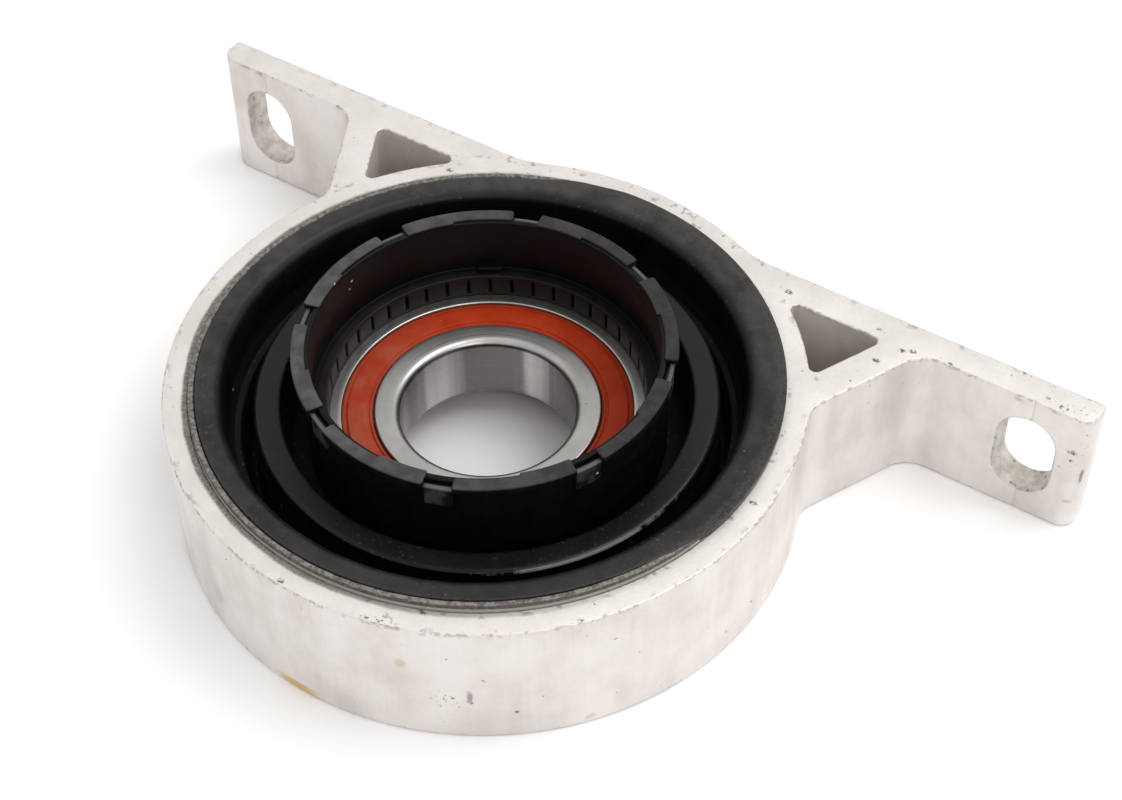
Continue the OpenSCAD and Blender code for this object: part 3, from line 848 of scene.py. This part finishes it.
# %% Rubber ring
RUBBER_CORNERS = np.array([
    (48.55, 14.3), (48.55, 14.4), (48.4, 15.4), (47.2, 15.4), (45.2, 15.3), (44.0, 14.1), (42.75, 5.0),
    (41.6, 4.7), (41.2, -3.3), (39.6, -3.3), (39.3, 10.5), (34.7, 10.4), (34.2, -0.9), (29.05, -0.9),
    (29.05, -7.3), (33.1, -7.3), (35.85, -4.8), (36.45, 3.9), (37.05, 3.9), (37.65, -5.9), (42.4, -5.9),
    (46.4, -11.3), (48.55, -11.3)])
RUBBER_RADII = np.array([0, 0, 0.2, 1.0, 1.7, 1.7, 0.3, 0.3, 0.8, 0.6, 0.9, 0.6, 1.2, 0.2, 0.5, 1.0,
                         1.2, 0.25, 0.25, 1.2, 1.5, 0.8, 0.3])
RIM_FOOT, RIM_EDGE, FLANGE, LIP = 1, 2, slice(2, 6), slice(4, 8)
LIP_SHIFT = 0.27
CREEP_MIDDLE = math.radians(42)
CREEP_GAIN, CREEP_LESS = 2.5, 0.6
CREEP_SEED, CREEP_WAVES, CREEP_UNEVEN = 9, [3, 7, 13, 29], 0.12
CREEP_FOOT, CREEP_OUT, CREEP_UP = 1.45, 1.65, 0.25

rubber_turn = around(FINE_TURN_STEPS)
creep = np.cos(rubber_turn - CREEP_MIDDLE) * CREEP_GAIN - CREEP_LESS
creep = np.clip(creep + wobble(rubber_turn, CREEP_SEED, CREEP_WAVES, CREEP_UNEVEN), 0, 1)
rubber_section = np.tile(RUBBER_CORNERS, (len(rubber_turn), 1, 1))
rubber_section[:, FLANGE, 1] += SLEEVE_TILT * np.cos(rubber_turn - FRONT_TURN)[:, None]
rubber_section[:, LIP, 0] += LIP_SHIFT * np.cos(rubber_turn - LEFT_TURN)[:, None]
rubber_section[:, RIM_FOOT, 0] += CREEP_FOOT * creep
rubber_section[:, RIM_EDGE, 0] += CREEP_OUT * creep
rubber_section[:, RIM_EDGE, 1] += CREEP_UP * creep
rubber_section = rounded(rubber_section, RUBBER_RADII, 5, 0.3)
rubber_mesh = make_mesh("rubber_ring", [patch(spun(rubber_section, rubber_turn))])

# %% [markdown]
# The dust collar is a moulded plastic tube with a lip in eight lengths, a snap tab under each gap and
# a ribbed band just above the bearing. The notches could be cut from a tube, but cuts leave hard edges.
# So the tube is spun, and the lip, tabs, ribs and tooth are blocks bent round the axis: one rounded
# rectangle carried along an arc, with its ends rounded off too. Each block gives its lowest and highest
# radius, its lowest and highest height, its rounding and its rows along the arc.

# %% Blocks bent round the axis
COLLAR_TOP = 22.2
LIP_BLOCK = (29.65, 32.0, 20.4, COLLAR_TOP, 0.45, 40)
RELIEF_BLOCK = (29.12, 30.6, 20.6, COLLAR_TOP - 0.02, 0.2, 24)
TAB_BLOCK = (30.3, 31.4, 16.9, 20.95, 0.15, 6)
RIB_BLOCK = (26.85, 28.8, 6.6, 10.5, 0.16, 3)
TOOTH_BLOCK = (27.6, 29.3, 9.8, 12.2, 0.2, 5)
ROUND_SHARE = 0.9


def bent_block(block, turn_low, turn_high):
    """A block bent round the axis from one angle to another. Its section is a rectangle with rounded
    corners; towards each end it is drawn in by round_r (1 - sin t), and the last row closes on the
    section's middle."""
    r_low, r_high, z_low, z_high, round_r, count = block
    t = np.linspace(0, np.pi / 2, 4)
    drawn_in = np.concatenate((round_r * (1 - np.sin(t)), np.zeros(count), round_r * (1 - np.sin(t[::-1]))))
    ease = round_r * (1 - np.cos(t)) / ((r_low + r_high) / 2)
    run = np.linspace(turn_low, turn_high, count + 2)[1:-1]
    turns = np.sort(np.concatenate((turn_low + ease, run, turn_high - ease[::-1])))
    corners = np.array([(r_low, z_low), (r_high, z_low), (r_high, z_high), (r_low, z_high)])
    inwards = np.array([(1, 1), (-1, 1), (-1, -1), (1, -1)])
    section = corners + inwards * drawn_in[:, None, None]
    section = rounded(section, np.full(4, round_r * ROUND_SHARE), 3, 0.1)
    middle = np.broadcast_to(section.mean(1, keepdims=True), section.shape)
    section = np.concatenate((middle[:1], section, middle[-1:]))
    return patch(spun(section, np.concatenate((turns[:1], turns, turns[-1:]))), False, True)


print("rows of a lip, a tab and a rib:", LIP_BLOCK[-1], TAB_BLOCK[-1], RIB_BLOCK[-1])

# %% Dust collar
NOTCH_COUNT = 8
NOTCH_TURN = math.radians(20.2)
NOTCH_W = 4.6
RIB_COUNT = 44
RIB_GAP = 0.6
TOOTH_TURN = math.radians(122.7)
NOTCH_R, RIB_R, TOOTH_R = 31.0, 27.0, 27.5
TOOTH_HALF_W = 2.1
RELIEF_SHARE = 0.55
RIM_TOP = 21.7
COLLAR_CORNERS = np.array([
    (29.0, 0.0), (30.6, 0.0), (30.6, 20.45), (30.1, 20.45), (30.1, RIM_TOP), (29.1, RIM_TOP), (29.1, 11.05),
    (26.9, 10.95), (26.8, 10.35), (28.4, 10.3), (28.4, 7.0), (26.8, 7.0), (26.8, 6.55), (29.0, 6.55)])
COLLAR_RADII = np.array([0.2, 0.4, 0.1, 0.1, 0.25, 0.3, 0.1, 0.2, 0.1, 0.1, 0.1, 0.1, 0.1, 0.1])

collar_section = rounded(COLLAR_CORNERS, COLLAR_RADII, support=0.3)
collar_patches = [patch(spun(collar_section, around(TURN_STEPS)))]
notch_pitch = 2 * math.pi / NOTCH_COUNT
notch_half = math.asin(NOTCH_W / 2 / NOTCH_R)
for i in range(NOTCH_COUNT):
    middle = NOTCH_TURN + i * notch_pitch
    first, last = middle + notch_half, middle + notch_pitch - notch_half
    relief = first + RELIEF_SHARE * (last - first)
    collar_patches.append(bent_block(LIP_BLOCK, first, last))
    collar_patches.append(bent_block(RELIEF_BLOCK, relief, last))
    collar_patches.append(bent_block(TAB_BLOCK, middle - notch_half, middle + notch_half))
rib_half = math.pi / RIB_COUNT - RIB_GAP / 2 / RIB_R
for i in range(RIB_COUNT):
    middle = (i + 0.5) * 2 * math.pi / RIB_COUNT
    collar_patches.append(bent_block(RIB_BLOCK, middle - rib_half, middle + rib_half))
tooth_half = TOOTH_HALF_W / TOOTH_R
collar_patches.append(bent_block(TOOTH_BLOCK, TOOTH_TURN - tooth_half, TOOTH_TURN + tooth_half))
collar_mesh = make_mesh("dust_collar_moulding", collar_patches)

# %% [markdown]
# Now the finishes. Aluminium is nearly white here: the sawn faces are matt with small dark specks, the
# drawn walls carry fine streaks along the extrusion and a few stains, and brown grime sits in the slots
# and round the bore. One grey metal for all would look like paint, so the bracket has three finishes,
# and marks that the eye knows again are placed one by one.

# %% Marks on the aluminium
DARK = (0.07, 0.06, 0.05, 1)
# A mark or cluster has its place in mm, its size in metres and its stretch; a wall mark also has its tint
# and its strength.
WALL_MARKS = [
    ((-1.3, -53.9, -11.8), 0.0040, (1.4, 1.0, 0.5), (0.60, 0.40, 0.14, 1), 0.95),
    ((17.8, -51.0, 5.3), 0.0012, (1.0, 1.0, 1.2), (0.52, 0.49, 0.26, 1), 0.6),
    ((41.8, -34.1, -11.0), 0.0011, (1.0, 1.0, 0.8), (0.48, 0.46, 0.24, 1), 0.5),
    ((-19.6, -50.3, -4.2), 0.0030, (0.7, 1.0, 1.6), (0.42, 0.40, 0.38, 1), 0.35),
    ((33.4, -42.4, -6.2), 0.0005, (1.0, 1.0, 1.0), DARK, 0.8),
    ((27.5, -46.5, -2.0), 0.0009, (0.6, 1.0, 2.2), (0.16, 0.16, 0.17, 1), 0.7),
    ((90.1, 44.3, 0.2), 0.0006, (0.7, 1.0, 4.0), (0.14, 0.13, 0.12, 1), 0.75),
    ((89.0, 43.3, -6.0), 0.0012, (1.2, 1.0, 0.5), (0.42, 0.33, 0.22, 1), 0.5),
    ((77.2, 42.9, 13.2), 0.0008, (1.4, 1.0, 0.6), (0.42, 0.37, 0.14, 1), 0.6)]
WALL_CLUSTERS = [
    ((25.4, -47.7, -2.9), 0.0042, (1.0, 1.0, 0.8)), ((89.7, 43.9, 9.2), 0.0016, (1.0, 1.0, 1.4)),
    ((88.4, 43.0, 5.2), 0.0020, (1.0, 1.0, 1.2))]
TOP_CLUSTERS = [
    ((77.2, 48.2, 14.2), 0.0018, (2.4, 0.6, 1.0)), ((84.2, 44.7, 14.2), 0.0030, (1.4, 0.5, 1.0)),
    ((88.2, 45.3, 14.2), 0.0022, (1.0, 0.7, 1.0)), ((65.5, 43.4, 14.2), 0.0022, (1.6, 0.5, 1.0)),
    ((15.3, -51.6, 14.2), 0.0030, (1.8, 0.8, 1.0))]
TOP_MARKS = [(56.3, 41.8), (57.9, 42.6), (60.1, 40.9), (53.5, 37.5), (33.4, 44.1), (50.9, 44.3),
             (-2.5, -53.1), (19.3, -46.4), (40.9, -35.0), (51.3, -0.8), (-34.2, 39.1)]
TOP_MARK_SIZE, TOP_MARK_STRETCH = 0.0008, (1.2, 0.8, 1.0)


def stain_mask(tree, place, size, stretch):
    """A blot at a place in mm, of a size in metres."""
    return use_group(tree, STAIN, Place=tuple(value * MM for value in place), Size=size, Stretch=stretch)


def cluster_mask(tree, clusters):
    """Fine dark specks that gather at the given places."""
    near = 0.0
    for cluster in clusters:
        near = calc("MAXIMUM", near, stain_mask(tree, *cluster))
    return times(near, use_group(tree, SPECKS, Scale=1150.0, Share=0.42, Soft=0.08))


print("marks on walls:", len(WALL_MARKS), "on the sawn face:", len(TOP_MARKS))


# %% Sawn and drawn aluminium
def make_sawn_aluminium():
    """The sawn faces: matt and mottled, with specks along the outer edges and grime round the bore."""
    material, tree = new_finish("sawn_aluminium", 0.5)
    place = object_place(tree)
    cloud = noise(place, 110.0, 6.0, 0.65)
    fine = noise(place, 2300.0, 3.0)
    radius = axis_parts(tree)[0]
    back = put(tree, "SeparateXYZ", {0: place}).outputs["Y"]
    rim = within(radius, 0.0524, 0.0542, 0.0545, 0.0560)
    edge = calc("MAXIMUM", rim, between(back, 0.0466, 0.0486))
    edge = calc("MAXIMUM", edge, between(radius, 0.0512, 0.0503))
    dirt = times(use_group(tree, SPECKS, Scale=430.0, Share=0.42, Soft=0.10), edge, 0.6)
    specks = use_group(tree, SPECKS, Scale=760.0, Share=0.13, Soft=0.05)
    leftness = between(use_group(tree, SIDE, "Value", Ray=LEFT_RAY), -0.9, 1.0)
    grime = between(calc("ADD", radius, times(cloud, 0.0010)), 0.0515, 0.0509)
    grime = times(grime, leftness, between(fine, 0.3, 0.6, 0.75, 1.0))
    broken = between(fine, 0.40, 0.54, 0.1, 0.9)
    metal = blend_in(between(cloud, 0.3, 0.7), (0.70, 0.665, 0.63, 1), (0.78, 0.75, 0.72, 1))
    marks = [stain_mask(tree, (x, y, TOP_Z), TOP_MARK_SIZE, TOP_MARK_STRETCH) for x, y in TOP_MARKS]
    colour = layered(
        metal, (between(fine, 0.3, 0.7, 0.12, 0.0), (0.42, 0.38, 0.34, 1)),
        (dirt, (0.22, 0.19, 0.16, 1)), (grime, (0.165, 0.15, 0.135, 1)), (times(specks, 0.6), DARK),
        *[(times(mark, broken), DARK) for mark in marks],
        (cluster_mask(tree, TOP_CLUSTERS), (0.20, 0.18, 0.16, 1)))
    roughness = between(fine, 0.2, 0.8, 0.42, 0.62)
    return finish_surface(material, colour, roughness, calc("SUBTRACT", fine, specks), 0.00003)


def make_drawn_aluminium():
    """The extruded walls: fine streaks along Z, soft blotches, marks, and dirt at the sawn edges."""
    material, tree = new_finish("drawn_aluminium", 0.5)
    height = axis_parts(tree)[1]
    lines = use_group(tree, DRAWN_LINES, "Value", Scale=900.0, Squeeze=0.02)
    broad = use_group(tree, DRAWN_LINES, "Value", Scale=130.0, Squeeze=0.22)
    cloud = noise(object_place(tree), 75.0, 6.0, 0.62)
    specks = use_group(tree, SPECKS, Scale=700.0, Share=0.12, Soft=0.05)
    edge = calc("ADD", between(height, 0.0128, 0.0142), between(height, -0.0113, -0.0125))
    dirt = times(use_group(tree, SPECKS, Scale=480.0, Share=0.40, Soft=0.12), edge, 0.55)
    burr = times(use_group(tree, SPECKS, Scale=900.0, Share=0.5, Soft=0.08),
                 between(height, 0.0132, 0.0141, 0.0, 0.5))
    shade = calc("ADD", times(broad, 0.45), times(cloud, 0.55))
    metal = blend_in(between(shade, 0.36, 0.62), (0.62, 0.577, 0.547, 1), (0.76, 0.725, 0.70, 1))
    marks = [(times(stain_mask(tree, *blot), strength), tint) for *blot, tint, strength in WALL_MARKS]
    colour = layered(
        metal, (between(lines, 0.4, 0.2, 0.0, 0.22), (0.5, 0.47, 0.45, 1)),
        (dirt, (0.24, 0.21, 0.18, 1)), (times(specks, 0.6), DARK), *marks,
        (cluster_mask(tree, WALL_CLUSTERS), (0.15, 0.15, 0.15, 1)), (burr, (0.26, 0.24, 0.21, 1)))
    roughness = between(lines, 0.25, 0.75, 0.34, 0.5)
    return finish_surface(material, colour, roughness, lines, 0.00003)


bracket_finishes = [make_drawn_aluminium(), make_sawn_aluminium()]
print("nodes in each finish:", [len(finish.node_tree.nodes) for finish in bracket_finishes])


# %% Grimed aluminium
def make_grimed_aluminium():
    """The slots' walls and the bore's edge: brown grime with dark spots over the metal."""
    material, tree = new_finish("grimed_aluminium", 0.3)
    place = object_place(tree)
    cloud = noise(place, 330.0, 5.0, 0.6)
    grit = noise(place, 1700.0, 3.0)
    specks = use_group(tree, SPECKS, Scale=700.0, Share=0.30, Soft=0.08)
    bore = between(axis_parts(tree)[0], 0.0540, 0.0520)
    grime = blend_in(between(cloud, 0.32, 0.68), (0.42, 0.385, 0.345, 1), (0.66, 0.625, 0.58, 1))
    gritty = blend_in(between(grit, 0.40, 0.60), (0.09, 0.08, 0.07, 1), (0.36, 0.34, 0.31, 1))
    colour = layered(grime, (bore, gritty), (times(specks, 0.65), (0.11, 0.09, 0.075, 1)))
    roughness = between(grit, 0.2, 0.8, 0.5, 0.75)
    return finish_surface(material, colour, roughness, grit, 0.00006)


bracket_finishes.append(make_grimed_aluminium())
place_piece(bracket_mesh, "bracket", "bracket", "aluminium", *bracket_finishes)
print("finishes of the bracket:", [finish.name for finish in bracket_finishes])

# %% [markdown]
# Steel comes in two looks: the bearing's rings are ground, with fine lines round the axis and a bore
# painted with broad light and dark bands as painted reflections, and the sleeves are duller, with grit
# and rubber traces baked on, a pale band low on the outer sleeve's wall and a painted shade line at its
# top. The lines could be scratches in the mesh, but a slight bump and a change of gloss give the same
# gleam for no faces at all. The balls and the cage can't be seen, so they keep their CAD meshes.


# %% Steel
def make_ground_steel():
    """The bearing's rings: fine turning lines and a few specks, and a bore painted with broad light and dark
    bands as painted reflections.
    """
    material, tree = new_finish("ground_steel", 1.0)
    lines = use_group(tree, TURNING_LINES, "Value", Scale=3800.0)
    # The bore: less rough, and coloured with painted reflections.
    polish_and_reflection = between(axis_parts(tree)[0], 0.01525, 0.01505)
    cloud = noise(object_place(tree), 150.0, 5.0)
    specks = use_group(tree, SPECKS, Scale=900.0, Share=0.12, Soft=0.05)
    # Broad light and dark bands in the bore: painted reflections.
    reflection_bands = use_group(tree, DRAWN_LINES, "Value", Scale=120.0, Squeeze=0.02)
    steel = blend_in(between(cloud, 0.3, 0.7), (0.42, 0.405, 0.39, 1), (0.51, 0.50, 0.485, 1))
    bore = blend_in(between(reflection_bands, 0.42, 0.60), (0.21, 0.195, 0.19, 1), (0.62, 0.595, 0.585, 1))
    colour = layered(steel, (times(specks, 0.6), DARK), (polish_and_reflection, bore))
    ground = between(lines, 0.2, 0.8, 0.26, 0.38)
    roughness = calc("SUBTRACT", ground, times(polish_and_reflection, 0.06))
    return finish_surface(material, colour, roughness, lines, 0.000002)


def make_sleeve_steel():
    """The sleeves: dark gritty steel; the outer sleeve's wall above the bracket is pale low down, with a
    painted shade line under its upper edge.
    """
    material, tree = new_finish("sleeve_steel", 0.25)
    grit = noise(object_place(tree), 1500.0, 4.0)
    specks = use_group(tree, SPECKS, Scale=1100.0, Share=0.42, Soft=0.1)
    radius, height = axis_parts(tree)
    wall = between(radius, 0.04945, 0.04955)
    # A pale band low on the outer sleeve's wall, and a painted shade line along its top.
    pale = times(wall, between(height, 0.0151, 0.0146), 0.8)
    line = times(wall, between(height, 0.0147, 0.0151, 0.0, 0.6))
    steel = blend_in(between(grit, 0.36, 0.64), (0.10, 0.091, 0.08, 1), (0.24, 0.222, 0.198, 1))
    colour = layered(steel, (times(specks, 0.7), (0.05, 0.045, 0.04, 1)),
                     (pale, (0.50, 0.47, 0.44, 1)), (line, (0.04, 0.036, 0.032, 1)))
    roughness = between(grit, 0.2, 0.8, 0.5, 0.75)
    return finish_surface(material, colour, roughness, grit, 0.0001)


ground_steel = make_ground_steel()
sleeve_steel = make_sleeve_steel()
place_piece(outer_ring_mesh, "outer_ring", "carrier", "bearing_steel", ground_steel)
place_piece(inner_ring_mesh, "inner_ring", "inner_race", "bearing_steel", ground_steel)
place_piece(inner_sleeve_mesh, "inner_sleeve", "carrier", "sleeve_steel", sleeve_steel)
place_piece(outer_sleeve_mesh, "outer_sleeve", "bracket", "sleeve_steel", sleeve_steel)
hidden_steel = [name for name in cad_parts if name.startswith(("ball_", "cage_"))]
for name in hidden_steel:
    node_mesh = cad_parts[name].data
    node_mesh.materials.clear()
    node_mesh.materials.append(ground_steel)
print("CAD nodes kept:", len(hidden_steel))

# %% [markdown]
# The ring's rubber is charcoal: black in its groove, hazed with dust on its flange, and greyer on its
# crest. The haze is painted thinner at the front as painted shade, the crest is painted greyer away from
# the front as a painted reflection, and a painted highlight runs along the crest's outer edge at the
# front right. One plain black would look like a hole, so its colour and gloss change with the radius,
# the height and the side of the ring.

# %% Rubber
# Place and size of a painted highlight on the crest's outer edge, at the front right.
CREST_HIGHLIGHT_PLACE, CREST_HIGHLIGHT_SIZE = (0.0332, -0.0207, 0.0102), 0.017


def make_black_rubber():
    """Charcoal rubber: black in its walls, hazed with dust on the flange, the haze thinned towards the front
    as painted shade, and gritty at the rim, with a crest painted greyer away from the front as a painted
    reflection, shiny at its outer edge and with a painted highlight at the right."""
    material, tree = new_finish("black_rubber", 0.0, 0.25)
    place = object_place(tree)
    grain = noise(place, 1800.0, 3.0)
    cloud = noise(place, 160.0, 6.0, 0.65)
    radius, height = axis_parts(tree)
    frontness = use_group(tree, SIDE, "Value", Ray=FRONT_RAY)
    dust = times(use_group(tree, DUST, Scale=1400.0, Share=0.30), 0.4)
    flecks = use_group(tree, FLECKS, Scale=420.0, Share=0.02, Size=0.12)
    # Dust haze on the flange, painted thinner towards the front as painted shade.
    haze = times(between(radius, 0.0436, 0.0464), between(cloud, 0.32, 0.68, 0.35, 1.0),
                 between(frontness, -1.0, 1.0, 1.0, 0.56))
    edge = times(between(radius, 0.0476, 0.0490), between(grain, 0.2, 0.8))
    # The crest's top is painted greyer away from the front: a painted reflection.
    crest = times(between(radius, 0.0400, 0.0396), between(height, 0.0098, 0.0102),
                  between(frontness, 0.9, 0.2))
    # A pale painted highlight along the crest's outer edge, at the front right.
    pale_patch = times(use_group(tree, STAIN, Place=CREST_HIGHLIGHT_PLACE, Size=CREST_HIGHLIGHT_SIZE),
                 within(radius, 0.0388, 0.0390, 0.0392, 0.0394), between(height, 0.0098, 0.0100))
    black = blend_in(haze, (0.0014, 0.0013, 0.0014, 1), (0.046, 0.044, 0.043, 1))
    colour = layered(black, (dust, (0.16, 0.15, 0.14, 1)), (edge, (0.055, 0.051, 0.047, 1)),
                     (flecks, (0.45, 0.43, 0.40, 1)), (crest, (0.0085, 0.0081, 0.0083, 1)),
                     (pale_patch, (0.2, 0.195, 0.19, 1)))
    deep = between(height, 0.0092, 0.0070, 0.0, 0.3)
    shiny = times(within(radius, 0.0384, 0.0388, 0.0398, 0.0402), between(height, 0.0094, 0.0098, 0.0, -0.24))
    roughness = calc("ADD", between(cloud, 0.3, 0.7, 0.36, 0.52), deep)
    return finish_surface(material, colour, calc("ADD", roughness, shiny), grain, 0.00003)


black_rubber = make_black_rubber()
print("nodes in the rubber's finish:", len(black_rubber.node_tree.nodes))

# %% [markdown]
# The collar is black plastic, rubbed grey on its lips and tabs; the lips' grey is painted stronger
# towards the left as painted light, and the tabs' tops carry a painted highlight. The seals are a warm
# orange rubber, with dust and a painted sheen on one side, painted shade on the other, and grease along
# both edges. A painted map could show that, but masks made from radius and height follow the mouldings
# by themselves.


# %% Seal rubber
def make_seal_rubber():
    """Orange rubber: dust and a painted sheen on one side, painted shade on the other, and dark with grease
    along both edges.
    """
    material, tree = new_finish("seal_rubber", 0.0, 0.15)
    lines = use_group(tree, TURNING_LINES, "Value", Scale=1500.0)
    radius = axis_parts(tree)[0]
    leftness = use_group(tree, SIDE, "Value", Ray=LEFT_RAY)
    cloud = noise(object_place(tree), 180.0, 4.0)
    flecks = times(use_group(tree, FLECKS, Scale=700.0, Share=0.04, Size=0.15), 0.6)
    # Dust and a painted sheen on the left side of the seal.
    dust_and_sheen = times(between(leftness, 0.2, 1.0), between(cloud, 0.35, 0.65, 0.25, 0.8))
    # Painted shade from the collar on the right side of the seal.
    painted_shade = between(leftness, -0.2, -1.0, 0.0, 0.5)
    inner_edge = between(radius, 0.0198, 0.0195, 0.0, 0.8)
    outer_edge = between(radius, 0.0244, 0.0247, 0.0, 0.6)
    grease = (0.05, 0.008, 0.004, 1)
    orange = blend_in(between(cloud, 0.3, 0.7), (0.37, 0.028, 0.004, 1), (0.45, 0.043, 0.010, 1))
    colour = layered(orange, (dust_and_sheen, (0.37, 0.085, 0.05, 1)), (painted_shade, (0.20, 0.018, 0.004, 1)),
                     (inner_edge, grease), (outer_edge, grease), (flecks, (0.50, 0.40, 0.34, 1)))
    roughness = between(cloud, 0.3, 0.7, 0.42, 0.55)
    return finish_surface(material, colour, roughness, lines, 0.00001)


seal_rubber = make_seal_rubber()
place_piece(seal_top_mesh, "seal_top", "carrier", "seal_orange", seal_rubber)
place_piece(seal_bottom_mesh, "seal_bottom", "carrier", "seal_orange", seal_rubber)
print("nodes in the seals' finish:", len(seal_rubber.node_tree.nodes))


# %% Black plastic
def make_black_plastic():
    """Moulded plastic: black walls, and grey rubbed tops on the lip, the tabs and the band's rim, the rubbed
    grey painted stronger towards the left as painted light, and a painted highlight on the tabs' tops.
    """
    material, tree = new_finish("black_plastic", 0.0, 0.16)
    place = object_place(tree)
    grain = noise(place, 1200.0, 3.0)
    cloud = noise(place, 300.0, 5.0, 0.6)
    radius, height = axis_parts(tree)
    leftness = use_group(tree, SIDE, "Value", Ray=LEFT_RAY)
    flecks = use_group(tree, FLECKS, Scale=380.0, Share=0.025, Size=0.12)
    lip = between(height, 0.02175, 0.02215)
    band = times(between(radius, 0.0284, 0.0280), between(height, 0.0112, 0.0108), 0.14)
    # Rubbed grey on the lip and the band's rim, painted stronger towards the left as painted light.
    rub_with_side_light = times(calc("MAXIMUM", lip, band), between(cloud, 0.36, 0.64, 0.6, 1.0),
                between(leftness, -1.0, 1.0, 0.45, 1.0))
    tab = times(within(radius, 0.03065, 0.0309, 0.0315, 0.0316),
                within(height, 0.0166, 0.0172, 0.0210, 0.02115))
    pale_patch = times(tab, between(cloud, 0.40, 0.60, 0.1, 0.8))
    # A painted highlight on the tabs' tops.
    tab_top_highlight = times(tab, between(height, 0.0204, 0.0208), 0.6)
    black = blend_in(between(cloud, 0.3, 0.7), (0.0023, 0.0019, 0.0019, 1), (0.0037, 0.0031, 0.0031, 1))
    colour = layered(black, (rub_with_side_light, (0.092, 0.089, 0.087, 1)), (pale_patch, (0.05, 0.048, 0.046, 1)),
                     (tab_top_highlight, (0.16, 0.155, 0.15, 1)), (flecks, (0.5, 0.48, 0.46, 1)))
    roughness = calc("ADD", between(cloud, 0.3, 0.7, 0.36, 0.5), times(lip, 0.5))
    return finish_surface(material, colour, roughness, grain, 0.00003)


black_plastic = make_black_plastic()
place_piece(collar_mesh, "dust_collar", "carrier", "black_plastic", black_plastic)
print("nodes in the collar's finish:", len(black_plastic.node_tree.nodes))

# %% [markdown]
# The rubber's rim stays with the bracket and its web goes with the bearing, so it would have to bend
# between two bodies by radius and not along a straight line. Here it rides on no body: its points are
# laid out with each at a height equal to its radius, its transform is baked into the mesh, and the
# points are put back.

# %% Place the rubber and bake its transform
rubber_piece = place_piece(rubber_mesh, "rubber_mount", None, "black_rubber", black_rubber)
places = np.empty(len(rubber_mesh.vertices) * 3, np.float32)
rubber_mesh.vertices.foreach_get("co", places)
laid_out = places.reshape(-1, 3).copy()
laid_out[:, 2] = np.hypot(laid_out[:, 0], laid_out[:, 1])
rubber_mesh.vertices.foreach_set("co", laid_out.ravel())
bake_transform(rubber_piece)
rubber_mesh.vertices.foreach_set("co", places)
rubber_mesh.update()
